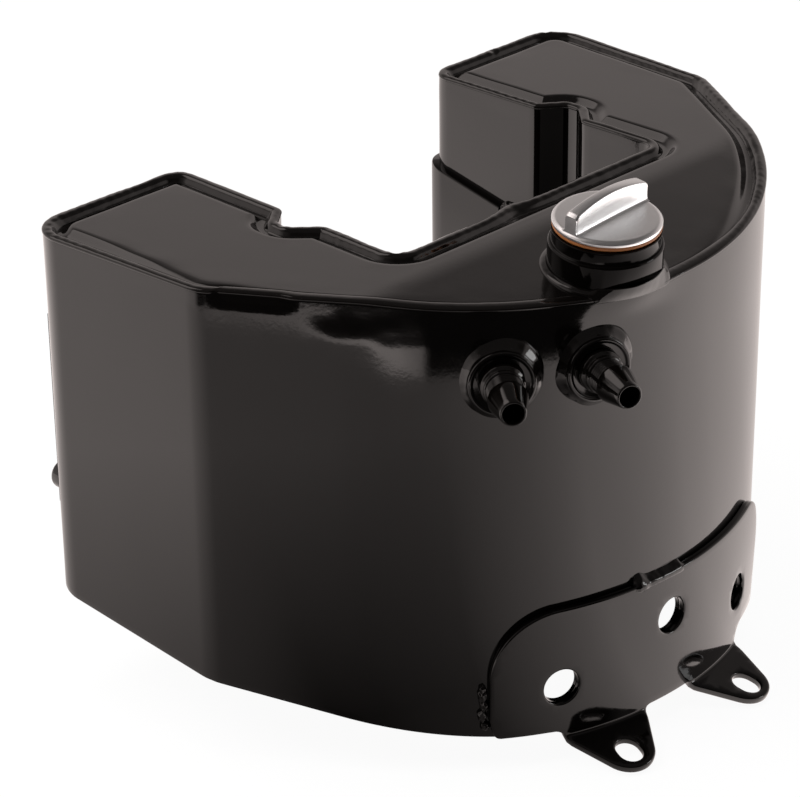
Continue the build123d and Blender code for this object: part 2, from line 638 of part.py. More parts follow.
# ------------------------------------------------------------------ feed outlet and drain, under the floor
fpl = floor_plane(*FEED)
dpl = floor_plane(*DRAIN)
with BuildPart() as feed_bung:
    add(turned([(4.2, -6.0), (7.9, -6.0), (7.9, 0.05), (10.0, 0.05), (10.0, 3.5), (4.2, 3.5)], fpl))
with BuildPart() as feed_spigot:
    add(turned([(3.0, -4.0), (4.15, -4.0), (4.15, 3.55), (6.2, 3.55), (6.2, 5.4), (4.75, 5.4), (4.75, 9.4), (5.3, 9.4), (5.3, 10.0),
                (4.0, 14.6), (3.0, 14.6)], fpl))
with BuildPart() as feed_strainer:
    add(turned([(6.4, -6.05), (7.4, -6.05), (7.4, -40.0), (0.0, -40.0), (0.0, -39.0), (6.4, -39.0)], fpl))
    for i in range(6):
        with BuildSketch(Plane(origin=fpl.origin - fpl.z_dir * 23.0, x_dir=fpl.z_dir, z_dir=fpl.x_dir.rotate(Axis((0, 0, 0), fpl.z_dir), i * 60.0))):
            SlotOverall(26.0, 2.4)
        extrude(amount=9.0, mode=Mode.SUBTRACT)
with BuildPart() as drain_bung:
    add(turned([(5.2, -6.0), (7.9, -6.0), (7.9, 0.05), (10.5, 0.05), (10.5, 4.0), (5.2, 4.0)], dpl))
with BuildPart() as drain_washer:
    add(turned([(5.3, 4.05), (8.4, 4.05), (8.4, 5.35), (5.3, 5.35)], dpl))
with BuildPart() as drain_plug:
    with BuildSketch(Plane(origin=dpl.origin - dpl.z_dir * 5.0, x_dir=dpl.x_dir, z_dir=dpl.z_dir)):
        Circle(5.15)
    extrude(amount=10.4)
    with BuildSketch(Plane(origin=dpl.origin + dpl.z_dir * 5.4, x_dir=dpl.x_dir, z_dir=dpl.z_dir)):
        RegularPolygon(8.0, 6, major_radius=False)
    extrude(amount=5.0)

# ------------------------------------------------------------------ baffles
baffles = []
for s in (-1, 1):
    with BuildPart() as bf:
        with BuildSketch(BASE):
            add(plan(WALL + 0.02, BASE))
            with Locations((CX + s * 102.0, CY + 76.0)):
                Rectangle(80.0, 1.2, mode=Mode.INTERSECT)
        extrude(amount=215.0)
        add(side_prism([(60, -26), (90, -26), (90, -128), (60, -128)]), mode=Mode.INTERSECT)
        with BuildSketch(Plane(origin=W(s * 101.0, 90.0, 0), x_dir=(1, 0, 0), z_dir=(0, -1, 0))):
            with Locations((0, -50.0), (0, -77.0), (0, -104.0)):
                Circle(8.5)
        extrude(amount=30.0, mode=Mode.SUBTRACT)
    baffles.append(bf.part)
with BuildPart() as baffle_left:
    add(baffles[0])
with BuildPart() as baffle_right:
    add(baffles[1])

# ------------------------------------------------------------------ rear straps and threaded bosses
STRAP_T = 3.0
STRAP_X = 129.0
REAR_X, REAR_Z = 121.5, -104.8
straps, rear_bosses = [], []
for s in (-1, 1):
    with BuildPart() as stp:
        with BuildSketch(BASE):
            add(plan(-STRAP_T, BASE))
            add(U0, mode=Mode.SUBTRACT)
            with Locations((CX + s * (58.0 + STRAP_X) / 2, CY + 96.0)):
                Rectangle(STRAP_X - 58.0, 46.0, mode=Mode.INTERSECT)
        extrude(amount=215.0)
        add(side_prism([(73, -44.6), (110, -36.1), (130, -36.1), (130, -112.0), (110, -112.0), (73, -103.5)]), mode=Mode.INTERSECT)
        with BuildSketch(Plane(origin=W(s * REAR_X, END_Y + 10, REAR_Z), x_dir=(1, 0, 0), z_dir=(0, 1, 0))):
            Circle(3.0)
        extrude(amount=-9.9, mode=Mode.SUBTRACT)
    straps.append(stp.part)
    with BuildPart() as rb:
        with BuildSketch(Plane(origin=W(s * REAR_X, END_Y + STRAP_T, REAR_Z), x_dir=(1, 0, 0), z_dir=(0, 1, 0))):
            Circle(5.5)
            Circle(2.6, mode=Mode.SUBTRACT)
        extrude(amount=6.0)
        chamfer(rb.edges().filter_by(GeomType.CIRCLE).group_by(Axis.Y)[-1].group_by(SortBy.RADIUS)[-1], 0.8)
    rear_bosses.append(rb.part)
with BuildPart() as strap_left:
    add(straps[0])
with BuildPart() as strap_right:
    add(straps[1])
with BuildPart() as rear_boss_left:
    add(rear_bosses[0])
with BuildPart() as rear_boss_right:
    add(rear_bosses[1])

# weld blobs at the straps' upper front corners
with BuildPart() as strap_welds:
    for s in (-1, 1):
        with Locations(W(s * (xin(71.4) + 1.4), 71.4, -44.8)):
            Sphere(3.4)
    for st in straps:
        add(st, mode=Mode.SUBTRACT)
    with BuildSketch(BASE):
        add(U0)
    extrude(amount=215.0, mode=Mode.SUBTRACT)

PARTS = dict(outer_wall=outer_wall, inner_wall=inner_wall, top_plate=top_plate, top_weld=top_weld,
             bottom_plate=bottom_plate, recess_box=recess_box, bottom_weld=bottom_weld,
             front_bracket=front_bracket, bracket_welds=bracket_welds,
             filler_neck=filler_neck, neck_weld=neck_weld, cap_seal=cap_seal, filler_cap=filler_cap, dipstick=dipstick,
             vent_boss=vent_boss, return_boss=return_boss, boss_welds=boss_welds,
             vent_spigot=vent_spigot, return_spigot=return_spigot, vent_tube=vent_tube, return_tube=return_tube,
             feed_bung=feed_bung, feed_spigot=feed_spigot, feed_strainer=feed_strainer,
             drain_bung=drain_bung, drain_washer=drain_washer, drain_plug=drain_plug,
             baffle_left=baffle_left, baffle_right=baffle_right,
             strap_left=strap_left, strap_right=strap_right, strap_welds=strap_welds,
             rear_boss_left=rear_boss_left, rear_boss_right=rear_boss_right)
for name, bp in PARTS.items():
    bp.part.label = name
    export_step(bp.part, "parts/" + name + ".step")
    bb = bp.part.bounding_box()
    print("%-16s solids %d vol %.0f  (%.1f %.1f %.1f)-(%.1f %.1f %.1f)" % (
        name, len(bp.part.solids()), bp.part.volume, bb.min.X, bb.min.Y, bb.min.Z, bb.max.X, bb.max.Y, bb.max.Z))
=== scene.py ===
import bpy
import bmesh
import math
import numpy as np
from math import sin, cos, tan, radians, degrees, atan2, hypot, acos, asin, pi, sqrt
from mathutils import Vector, Matrix, noise
from mathutils.geometry import delaunay_2d_cdt

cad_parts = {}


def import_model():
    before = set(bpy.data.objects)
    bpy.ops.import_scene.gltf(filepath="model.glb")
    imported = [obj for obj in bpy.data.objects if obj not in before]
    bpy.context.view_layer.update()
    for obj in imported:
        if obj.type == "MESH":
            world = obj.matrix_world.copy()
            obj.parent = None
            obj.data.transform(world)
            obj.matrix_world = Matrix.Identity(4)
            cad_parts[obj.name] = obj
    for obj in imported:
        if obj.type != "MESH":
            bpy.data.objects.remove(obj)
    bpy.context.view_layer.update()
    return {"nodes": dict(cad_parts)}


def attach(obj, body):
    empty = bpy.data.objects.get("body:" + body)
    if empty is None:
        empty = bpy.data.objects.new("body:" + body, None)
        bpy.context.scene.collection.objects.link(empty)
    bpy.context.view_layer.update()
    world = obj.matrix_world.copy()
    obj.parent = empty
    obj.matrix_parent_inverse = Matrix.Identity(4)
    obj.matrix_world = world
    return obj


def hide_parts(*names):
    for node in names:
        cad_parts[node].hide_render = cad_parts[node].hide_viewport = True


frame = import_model()
nodes = frame["nodes"]

# ------------------------------------------------------------------ datum and plan, millimetres
CX, CY, CZ = 5.1, 81.1, 178.9
END_Y, OUT_END, OUT_BEND, BEND_Y = 112.1, 138.6, 133.7, 30.7
FRONT_R, FRONT_CY = 128.1, 58.8
IN_END, IN_BASE = 65.8, 68.0
WALL = 1.6
FOLD_Y, LID_SLOPE = -18.0, radians(7.5)
BOT_REAR, BOT_BEND, BOT_FRONT, SKIRT_Z = -139.9, -150.9, -174.4, -172.2
BOT_FRONT_Y = FRONT_CY - FRONT_R
SEAM_X = 102.0


def world(p):
    return Vector(((p[0] + CX) / 1000.0, (p[1] + CY) / 1000.0, (p[2] + CZ) / 1000.0))


def xin(y):
    return IN_BASE + (IN_END - IN_BASE) * y / END_Y


_px, _py = -OUT_BEND, BEND_Y - FRONT_CY
_a = atan2(_py, _px) + acos(FRONT_R / hypot(_px, _py))
TX, TY = cos(_a), sin(_a)
RING = [
    ((IN_END, END_Y), 9.0, 1), ((xin(57.5), 57.5), 3.5, 1), ((76.0, 50.5), 3.0, -1), ((76.0, 44.5), 3.0, -1),
    ((xin(35.5), 35.5), 4.5, 1), ((IN_BASE, 0.0), 6.0, -1), ((-IN_BASE, 0.0), 6.0, -1), ((-xin(35.5), 35.5), 4.5, 1),
    ((-76.0, 44.5), 3.0, -1), ((-76.0, 50.5), 3.0, -1), ((-xin(57.5), 57.5), 3.5, 1), ((-IN_END, END_Y), 9.0, 1),
    ((-OUT_END, END_Y), 15.0, 1), ((-OUT_BEND, BEND_Y), 16.0, 1),
    ((TX * FRONT_R, FRONT_CY + TY * FRONT_R), None, 0), ((-TX * FRONT_R, FRONT_CY + TY * FRONT_R), None, 0),
    ((OUT_BEND, BEND_Y), 16.0, 1), ((OUT_END, END_Y), 15.0, 1),
]
ARC_I = 14


def corners(d):
    n = len(RING)
    lines = []
    for i in range(n):
        (x0, y0), (x1, y1) = RING[i][0], RING[(i + 1) % n][0]
        if i == ARC_I:
            lines.append(None)
            continue
        L = hypot(x1 - x0, y1 - y0)
        ux, uy = (x1 - x0) / L, (y1 - y0) / L
        lines.append((x0 - uy * d, y0 + ux * d, ux, uy))
    out = []
    for i in range(n):
        r, c = RING[i][1], RING[i][2]
        if c == 0:
            s = -1 if i == ARC_I else 1
            out.append((np.array((-s * TX * (FRONT_R - d), FRONT_CY + TY * (FRONT_R - d))), None))
            continue
        ax, ay, aux, auy = lines[i - 1]
        bx, by, bux, buy = lines[i]
        t = ((bx - ax) * buy - (by - ay) * bux) / (aux * buy - auy * bux)
        out.append((np.array((ax + aux * t, ay + auy * t)), max(r - d if c == 1 else r + d, 0.8)))
    return out


def unit(v):
    return v / max(np.hypot(v[0], v[1]), 1e-12)


class Plan:
    """Closed outline of the tank at any inset, always with the same points."""

    def __init__(self, step, arc_step):
        self.step, self.arc_step = step, arc_step
        self.counts = None
        self.base = self.ring(0.0)
        d = np.diff(np.vstack([self.base, self.base[:1]]), axis=0)
        self.station = np.concatenate([[0.0], np.cumsum(np.hypot(d[:, 0], d[:, 1]))[:-1]])
        inner = self.ring(0.05)
        self.normal = (self.base - inner)
        self.normal /= np.hypot(self.normal[:, 0], self.normal[:, 1])[:, None]

    def ring(self, d):
        cs = corners(d)
        n = len(cs)
        arcs = []
        for i in range(n):
            p, r = cs[i]
            if r is None:
                arcs.append(None)
                continue
            u, v = unit(p - cs[i - 1][0]), unit(cs[(i + 1) % n][0] - p)
            ang = atan2(u[0] * v[1] - u[1] * v[0], u @ v)
            t = r * tan(abs(ang) / 2)
            a = p - u * t
            c = a + np.array((-u[1], u[0])) * r * (1 if ang > 0 else -1)
            arcs.append((a, p + v * t, c, ang, r))
        first = self.counts is None
        if first:
            self.counts, self.seams = [], {}
        pts, k = [], 0
        for i in range(n):
            if arcs[i] is None:
                pts.append(cs[i][0])
                start = cs[i][0]
            else:
                a, b, c, ang, r = arcs[i]
                if first:
                    self.counts.append(max(4, int(np.ceil(abs(ang) * max(r, 3.0) / self.arc_step))))
                m = self.counts[k]
                k += 1
                for j in range(m + 1):
                    w = ang * j / m
                    q = a - c
                    pts.append(c + np.array((q[0] * cos(w) - q[1] * sin(w), q[0] * sin(w) + q[1] * cos(w))))
                start = b
            nx = (i + 1) % n
            end = cs[nx][0] if arcs[nx] is None else arcs[nx][0]
            if i == ARC_I:
                R = FRONT_R - d
                a0 = atan2(start[1] - FRONT_CY, start[0])
                a1 = atan2(end[1] - FRONT_CY, end[0])
                if first:
                    self.counts.append(int(np.ceil(abs(a1 - a0) * R / self.step)))
                m = self.counts[k]
                k += 1
                for j in range(1, m):
                    w = a0 + (a1 - a0) * j / m
                    pts.append(np.array((R * cos(w), FRONT_CY + R * sin(w))))
                continue
            parts = [(start, end)]
            if i in (11, 17):
                sx = -SEAM_X if i == 11 else SEAM_X
                mid = np.array((sx, start[1]))
                parts = [(start, mid), (mid, end)]
            for q, (s0, s1) in enumerate(parts):
                if first:
                    self.counts.append(max(1, int(np.ceil(np.hypot(*(s1 - s0)) / self.step))))
                m = self.counts[k]
                k += 1
                for j in range(1, m):
                    pts.append(s0 + (s1 - s0) * j / m)
                if q == 0 and len(parts) == 2:
                    self.seams[i] = len(pts)
                    pts.append(s1)
        return np.array(pts)


def lid(y):
    """Height of the rim and lid, with a soft crease."""
    w, t = 5.0, tan(LID_SLOPE)
    if y >= FOLD_Y + w:
        return 0.0
    if y <= FOLD_Y - w:
        return (y - FOLD_Y) * t
    return -t * (FOLD_Y + w - y) ** 2 / (4 * w)


def floor_z(y):
    if y >= BEND_Y:
        return BOT_BEND + (y - BEND_Y) * (BOT_REAR - BOT_BEND) / (END_Y - BEND_Y)
    return max(BOT_BEND + (y - BEND_Y) * (BOT_FRONT - BOT_BEND) / (BOT_FRONT_Y - BEND_Y), SKIRT_Z)


def smooth(t):
    t = min(max(t, 0.0), 1.0)
    return t * t * (3 - 2 * t)


def theta(x, y):
    return degrees(atan2(x, FRONT_CY - y))


def bulge(x, y):
    """The weld under the neck pushes the rim out in front of it."""
    if y > 0:
        return 0.0
    return 2.3 * math.exp(-((theta(x, y) + 10.5) / 6.5) ** 2)


def lean(x, y, depth):
    """How far the top of the front wall is pulled in by the welding, depth below the rim."""
    if y > 25 or x > 0:
        return 0.0
    t = theta(x, y)
    out = 0.0
    band = smooth((t + 82) / 5) * smooth((-63.5 - t) / 3)
    if band > 0:
        u = smooth(1 - depth / (5.2 + 1.5 * noise.noise(Vector((t * 0.5, 1.0, 2.0)))))
        out += band * 1.0 * u
    k = smooth((t + 64) / 8) * smooth((-14 - t) / 12)
    if k > 0:
        out += k * (0.35 * smooth(1 - depth / 16.0) + 0.10 * noise.noise(Vector((t * 0.30, depth * 0.12, 7.0))) * smooth(1 - abs(depth - 10) / 16))
    return out


def flange(x, y):
    """1 where the lid has its full flange, 0 along the front where the weld meets the panel."""
    if y > 95 or abs(x) < xin(y) + 12 and y > -12:
        return 1.0
    if x < 0:
        return smooth((y - 2.0) / 92.0) if x < -100 or y < 0 else 1.0
    return smooth((theta(x, y) - 2) / 34.0) if y < 45 else 1.0


def wavy(x, y, z, scale=0.02, amount=0.16):
    v = Vector((x * scale, y * scale, z * scale * 0.6))
    return amount * (noise.noise(v) + 0.45 * noise.noise(v * 2.3 + Vector((5, 1, 9))))


# ------------------------------------------------------------------ mesh helpers
def make(name, verts, faces, smooth_on=True):
    me = bpy.data.meshes.new(name)
    me.from_pydata([world(v) for v in verts], [], faces)
    bm = bmesh.new()
    bm.from_mesh(me)
    bmesh.ops.remove_doubles(bm, verts=bm.verts, dist=1e-6)
    bmesh.ops.recalc_face_normals(bm, faces=bm.faces)
    for f in bm.faces:
        f.smooth = smooth_on
    bm.to_mesh(me)
    bm.free()
    ob = bpy.data.objects.new(name, me)
    bpy.context.scene.collection.objects.link(ob)
    return ob


def grid_faces(rows, cols, close_rows=True, close_cols=True, base=0):
    out = []
    for i in range(rows if close_rows else rows - 1):
        a, b = i, (i + 1) % rows
        for j in range(cols if close_cols else cols - 1):
            c = (j + 1) % cols
            out.append((base + a * cols + j, base + a * cols + c, base + b * cols + c, base + b * cols + j))
    return out


def mark_sharp(ob, angle=35.0):
    ob.data.set_sharp_from_angle(angle=radians(angle))


class Axis3:
    """Local frame: origin, x, y, normal; millimetre tank coordinates."""

    def __init__(self, o, x, n):
        self.o, self.n = Vector(o), Vector(n).normalized()
        x = Vector(x)
        self.x = (x - self.n * x.dot(self.n)).normalized()
        self.y = self.n.cross(self.x)

    def at(self, a, b, c):
        return self.o + self.x * a + self.y * b + self.n * c


def lathe(name, ax, prof, n=96, warp=None, mats=None):
    """Closed body turned from a loop of (radius, height) points."""
    verts = []
    for k, (r, h) in enumerate(prof):
        for j in range(n):
            w = 2 * pi * j / n
            rr, hh = (r, h) if warp is None else warp(r, h, w, k)
            verts.append(ax.at(rr * cos(w), rr * sin(w), hh))
    return make(name, verts, grid_faces(len(prof), n))


def rounded(prof, rad=0.35, seg=3):
    """Rounds the corners of a closed profile."""
    out, n = [], len(prof)
    for i in range(n):
        p0, p, p1 = (np.array(prof[(i + k) % n], float) for k in (-1, 0, 1))
        a, b = p0 - p, p1 - p
        la, lb = np.hypot(*a), np.hypot(*b)
        r = min(rad, la * 0.42, lb * 0.42)
        if r < 0.02 or p[0] < 0.01:
            out.append(tuple(p))
            continue
        q0, q1 = p + a / la * r, p + b / lb * r
        for k in range(seg + 1):
            t = k / seg
            q = q0 * (1 - t) ** 2 + p * 2 * t * (1 - t) + q1 * t * t
            out.append((max(q[0], 0.0), q[1]))
    return out


pieces = {}


def piece(ob, body, replaced, mat):
    ob.data.materials.clear()
    for m in (mat if isinstance(mat, (list, tuple)) else [mat]):
        ob.data.materials.append(m)
    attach(ob, body)
    if replaced:
        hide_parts(*([replaced] if isinstance(replaced, str) else replaced))
    pieces[ob.name] = ob
    return ob


# ------------------------------------------------------------------ materials
def new_mat(name):
    m = bpy.data.materials.new(name)
    m.use_nodes = True
    nt = m.node_tree
    return m, nt, nt.nodes["Principled BSDF"]


def add(nt, kind, **kw):
    nd = nt.nodes.new(kind)
    for k, v in kw.items():
        setattr(nd, k, v)
    return nd


def coat_paint(name, dark, light, rough, peel, wave, wave_scale=55.0):
    """Gloss powder coat: near black, fine orange peel, faint longer waves and slightly changing gloss."""
    m, nt, bs = new_mat(name)
    co = add(nt, "ShaderNodeTexCoord")
    n1 = add(nt, "ShaderNodeTexNoise")
    n1.inputs["Scale"].default_value = 90.0
    n1.inputs["Detail"].default_value = 4.0
    nt.links.new(co.outputs["Object"], n1.inputs["Vector"])
    mix = add(nt, "ShaderNodeMix", data_type="RGBA")
    mix.inputs[6].default_value = (*dark, 1)
    mix.inputs[7].default_value = (*light, 1)
    nt.links.new(n1.outputs["Fac"], mix.inputs[0])
    nt.links.new(mix.outputs[2], bs.inputs["Base Color"])
    mr = add(nt, "ShaderNodeMapRange")
    mr.inputs["To Min"].default_value = rough[0]
    mr.inputs["To Max"].default_value = rough[1]
    nt.links.new(n1.outputs["Fac"], mr.inputs["Value"])
    nt.links.new(mr.outputs["Result"], bs.inputs["Roughness"])
    n2 = add(nt, "ShaderNodeTexNoise")
    n2.inputs["Scale"].default_value = 620.0
    n2.inputs["Detail"].default_value = 2.0
    nt.links.new(co.outputs["Object"], n2.inputs["Vector"])
    n3 = add(nt, "ShaderNodeTexNoise")
    n3.inputs["Scale"].default_value = wave_scale
    n3.inputs["Detail"].default_value = 2.0
    nt.links.new(co.outputs["Object"], n3.inputs["Vector"])
    b1 = add(nt, "ShaderNodeBump")
    b1.inputs["Strength"].default_value = peel
    b1.inputs["Distance"].default_value = 0.0001
    nt.links.new(n2.outputs["Fac"], b1.inputs["Height"])
    b2 = add(nt, "ShaderNodeBump")
    b2.inputs["Strength"].default_value = wave
    b2.inputs["Distance"].default_value = 0.0006
    nt.links.new(n3.outputs["Fac"], b2.inputs["Height"])
    nt.links.new(b1.outputs["Normal"], b2.inputs["Normal"])
    nt.links.new(b2.outputs["Normal"], bs.inputs["Normal"])
    bs.inputs["IOR"].default_value = 1.55
    return m


def metal(name, col, col2, rough, scale, bump, stretch=(1, 1, 1), metallic=1.0):
    m, nt, bs = new_mat(name)
    co = add(nt, "ShaderNodeTexCoord")
    mp = add(nt, "ShaderNodeMapping")
    mp.inputs["Scale"].default_value = stretch
    nt.links.new(co.outputs["Object"], mp.inputs["Vector"])
    n1 = add(nt, "ShaderNodeTexNoise")
    n1.inputs["Scale"].default_value = scale
    n1.inputs["Detail"].default_value = 5.0
    nt.links.new(mp.outputs["Vector"], n1.inputs["Vector"])
    mix = add(nt, "ShaderNodeMix", data_type="RGBA")
    mix.inputs[6].default_value = (*col, 1)
    mix.inputs[7].default_value = (*col2, 1)
    nt.links.new(n1.outputs["Fac"], mix.inputs[0])
    nt.links.new(mix.outputs[2], bs.inputs["Base Color"])
    mr = add(nt, "ShaderNodeMapRange")
    mr.inputs["To Min"].default_value = rough[0]
    mr.inputs["To Max"].default_value = rough[1]
    nt.links.new(n1.outputs["Fac"], mr.inputs["Value"])
    nt.links.new(mr.outputs["Result"], bs.inputs["Roughness"])
    b = add(nt, "ShaderNodeBump")
    b.inputs["Strength"].default_value = bump
    b.inputs["Distance"].default_value = 0.0001
    nt.links.new(n1.outputs["Fac"], b.inputs["Height"])
    nt.links.new(b.outputs["Normal"], bs.inputs["Normal"])
    bs.inputs["Metallic"].default_value = metallic
    return m


PAINT = coat_paint("powder_black", (0.0008, 0.0006, 0.0005), (0.0016, 0.0012, 0.0010), (0.045, 0.085), 0.07, 0.03)
# a shaded copy of the powder coat for the turned neck: the lower IOR weakens its reflections, painted shade that keeps
# it almost black beside the lid
PAINT_NECK_SHADED = coat_paint("powder_black_neck_shaded", (0.0008, 0.0006, 0.0005), (0.0016, 0.0012, 0.0010), (0.06, 0.10), 0.12, 0.03)
for nd in PAINT_NECK_SHADED.node_tree.nodes:
    if nd.type == "BSDF_PRINCIPLED":
        nd.inputs["IOR"].default_value = 1.24
PAINT_LID = coat_paint("powder_black_lid", (0.0012, 0.0009, 0.0008), (0.0024, 0.0019, 0.0017), (0.07, 0.12), 0.10, 0.03)
PAINT_WELD = coat_paint("powder_black_weld", (0.0010, 0.0007, 0.0006), (0.0026, 0.0020, 0.0017), (0.045, 0.11), 0.22, 0.12, 160.0)
PAINT_IN = coat_paint("paint_inside", (0.004, 0.004, 0.004), (0.009, 0.0085, 0.008), (0.25, 0.4), 0.3, 0.2)
CHROME = metal("satin_disc", (0.92, 0.93, 0.94), (0.97, 0.98, 0.98), (0.30, 0.38), 900.0, 0.04)
# darker copy of the chrome for the handle's side faces: painted shade standing in for the dark reflection along them
HANDLE_SIDE_SHADE = metal("handle_side_painted_shade", (0.25, 0.255, 0.26), (0.31, 0.315, 0.32), (0.18, 0.26), 700.0, 0.05)
POLISH = metal("polished_edge", (0.80, 0.80, 0.81), (0.86, 0.86, 0.87), (0.05, 0.10), 300.0, 0.03)
RUBBER = metal("seal_rubber", (0.26, 0.085, 0.022), (0.38, 0.135, 0.036), (0.35, 0.5), 500.0, 0.2, metallic=0.0)
STEEL = metal("mill_steel", (0.30, 0.30, 0.31), (0.45, 0.45, 0.46), (0.32, 0.5), 160.0, 0.3, (1, 1, 6))
ZINC = metal("zinc_plate", (0.55, 0.56, 0.58), (0.70, 0.70, 0.70), (0.25, 0.38), 220.0, 0.15)
BRASS = metal("brass", (0.62, 0.42, 0.17), (0.75, 0.54, 0.25), (0.2, 0.32), 200.0, 0.12)
ALU = metal("aluminium", (0.70, 0.71, 0.72), (0.80, 0.81, 0.82), (0.28, 0.4), 240.0, 0.15)

# ------------------------------------------------------------------ walls
fine = Plan(2.4, 1.0)


def wall(name, i0, i1, node):
    idx = list(range(i0, i1 + 1)) if i1 > i0 else list(range(i0, len(fine.base))) + list(range(0, i1 + 1))
    rings = {d: fine.ring(d) for d in (0.0, 0.12, 0.45, 0.9, 1.35, WALL)}
    rows = []

    def row(d, level):
        """level: ('t', depth below rim) or ('f', fraction of the height)."""
        pts = []
        for j in idx:
            x, y = rings[d][j]
            zt, zb = lid(y), floor_z(y)
            z = zt - level[1] if level[0] == "t" else (zb + level[1] if level[0] == "b" else zt - 26.0 + (zb + 3.0 - zt + 26.0) * level[1])
            n = fine.normal[j]
            depth = zt - z
            off = bulge(x, y) * smooth(1 - depth / 11.0) - lean(x, y, depth)
            if depth > 1.5 and z - zb > 4:
                off += wavy(x, y, z) * smooth((depth - 1.5) / 6.0) * smooth((z - zb - 4) / 8.0)
            pts.append((x + n[0] * off, y + n[1] * off, z))
        rows.append(pts)
    for d, t in ((WALL, 0.5), (1.35, 0.14), (0.9, 0.0), (0.45, 0.1), (0.12, 0.35), (0.0, 0.8), (0.0, 1.5), (0.0, 2.5), (0.0, 4.0), (0.0, 5.5), (0.0, 7.0),
                 (0.0, 8.5), (0.0, 10.0), (0.0, 11.5), (0.0, 13.0), (0.0, 14.5), (0.0, 16.0), (0.0, 18.0), (0.0, 20.0), (0.0, 22.5)):
        row(d, ("t", t))
    for k in range(17):
        row(0.0, ("f", k / 16.0))
    for d, b in ((0.0, 0.5), (0.12, 0.15), (0.45, 0.0), (1.35, 0.0), (WALL, 0.4)):
        row(d, ("b", b))
    for k in (1.0, 0.5, 0.0):
        row(WALL, ("f", k))
    row(WALL, ("t", 8.0))
    verts = [p for r in rows for p in r]
    nr, nc = len(rows), len(idx)
    faces = grid_faces(nr, nc, True, False)
    faces.append(tuple(i * nc for i in range(nr)))
    faces.append(tuple(i * nc + nc - 1 for i in reversed(range(nr))))
    ob = make(name, verts, faces)
    mark_sharp(ob, 50)
    return ob


SA, SB = fine.seams[11], fine.seams[17]
outer = wall("outer_shell", SA, SB, "outer_wall")
inner = wall("bay_shell", SB, SA, "inner_wall")

# holes through the skirt
HOLE_R, HOLES = 6.8, [(-51.6, -151.7), (-4.5, -138.6), (42.6, -151.7)]
R2 = FRONT_R + 3.0
cuts = []
for hx, hz in HOLES:
    th = asin(hx / R2)
    ax = Axis3((FRONT_R * sin(th), FRONT_CY - FRONT_R * cos(th), hz), (cos(th), sin(th), 0), (sin(th), -cos(th), 0))
    bm = bmesh.new()
    ra = [bm.verts.new(world(ax.at(HOLE_R * cos(k * pi / 32), HOLE_R * sin(k * pi / 32), -6.0))) for k in range(64)]
    rb = [bm.verts.new(world(ax.at(HOLE_R * cos(k * pi / 32), HOLE_R * sin(k * pi / 32), 6.0))) for k in range(64)]
    bm.faces.new(ra[::-1])
    bm.faces.new(rb)
    for k in range(64):
        bm.faces.new((ra[k], ra[(k + 1) % 64], rb[(k + 1) % 64], rb[k]))
    bmesh.ops.recalc_face_normals(bm, faces=bm.faces)
    me = bpy.data.meshes.new("cut")
    bm.to_mesh(me)
    bm.free()
    co = bpy.data.objects.new("cut", me)
    bpy.context.scene.collection.objects.link(co)
    cuts.append(co)
for co in cuts:
    mo = outer.modifiers.new("hole", "BOOLEAN")
    mo.object, mo.operation, mo.solver = co, "DIFFERENCE", "EXACT"
bpy.context.view_layer.update()
dg = bpy.context.evaluated_depsgraph_get()
done = bpy.data.meshes.new_from_object(outer.evaluated_get(dg))
outer.modifiers.clear()
outer.data = done
mark_sharp(outer, 50)
for co in cuts:
    bpy.data.objects.remove(co)
piece(outer, "tank", "outer_wall", PAINT)
piece(inner, "tank", "inner_wall", PAINT)

# ------------------------------------------------------------------ filler axis
NX, NY = -22.1, -52.0
nn = Vector((sin(radians(-3.3)), sin(radians(-5.2)), 0))
nn.z = sqrt(1 - nn.x ** 2 - nn.y ** 2)
NECK = Axis3((NX, NY, (NY - FOLD_Y) * tan(LID_SLOPE) + 0.4), (1, 0, 0), nn)

# ------------------------------------------------------------------ lid: flange, bevel, panel
lidp = Plan(3.0, 1.0)
S_ROWS = [1.62, 3.0, 4.6, 5.6, 6.4, 6.9, 7.4, 7.9, 8.4, 8.9, 9.4, 9.9, 10.5, 11.8]
S_FRONT = [1.62, 2.0, 2.4, 2.8, 3.1, 3.4, 3.7, 4.0, 4.4, 4.8, 5.4, 6.4, 8.4, 11.8]


def rim_shift(x, y, s):
    """In front of the neck and along the pulled-in shoulder the rim moves with the wall."""
    k = smooth(1 - s / 9.0)
    return (bulge(x, y) - lean(x, y, 0.0)) * k


verts, rows = [], []
flange_q = [flange(x, y) for x, y in lidp.base]
for s_full, s_front in zip(S_ROWS, S_FRONT):
    rg1, rg0 = lidp.ring(s_full), lidp.ring(s_front)
    r = []
    for j in range(len(rg1)):
        q = flange_q[j]
        x, y = rg1[j] * q + rg0[j] * (1 - q)
        s = s_full * q + s_front * (1 - q)
        n = lidp.normal[j]
        o = rim_shift(x, y, s)
        w = 0.10 * noise.noise(Vector((x * 0.07, y * 0.07, s * 0.25)))
        r.append(len(verts))
        verts.append((x + n[0] * o, y + n[1] * o, lid(y) + (-2.2 + 2.6 * smooth((s_full - 6.4) / 4.2)) * q + (-0.9 + 1.3 * smooth((s_front - 1.6) / 2.6)) * (1 - q)
                      + w * smooth((s - 5.5) / 2)))
    rows.append(r)
nc = len(rows[0])
faces = []
for a, b in zip(rows[:-1], rows[1:]):
    for j in range(nc):
        k = (j + 1) % nc
        faces.append((a[j], a[k], b[k], b[j]))
edge = [Vector((verts[i][0], verts[i][1])) for i in rows[-1]]
hole = []
for k in range(48):
    p = NECK.at(13.0 * cos(k * pi / 24), 13.0 * sin(k * pi / 24), 0)
    hole.append(Vector((p.x, p.y)))
poly = np.array([(p.x, p.y) for p in edge])


def inside(x, y, pl):
    x0, y0 = pl[:, 0], pl[:, 1]
    x1, y1 = np.roll(x0, -1), np.roll(y0, -1)
    c = ((y0 > y) != (y1 > y)) & (x < (x1 - x0) * (y - y0) / (y1 - y0 + 1e-12) + x0)
    return bool(c.sum() % 2)


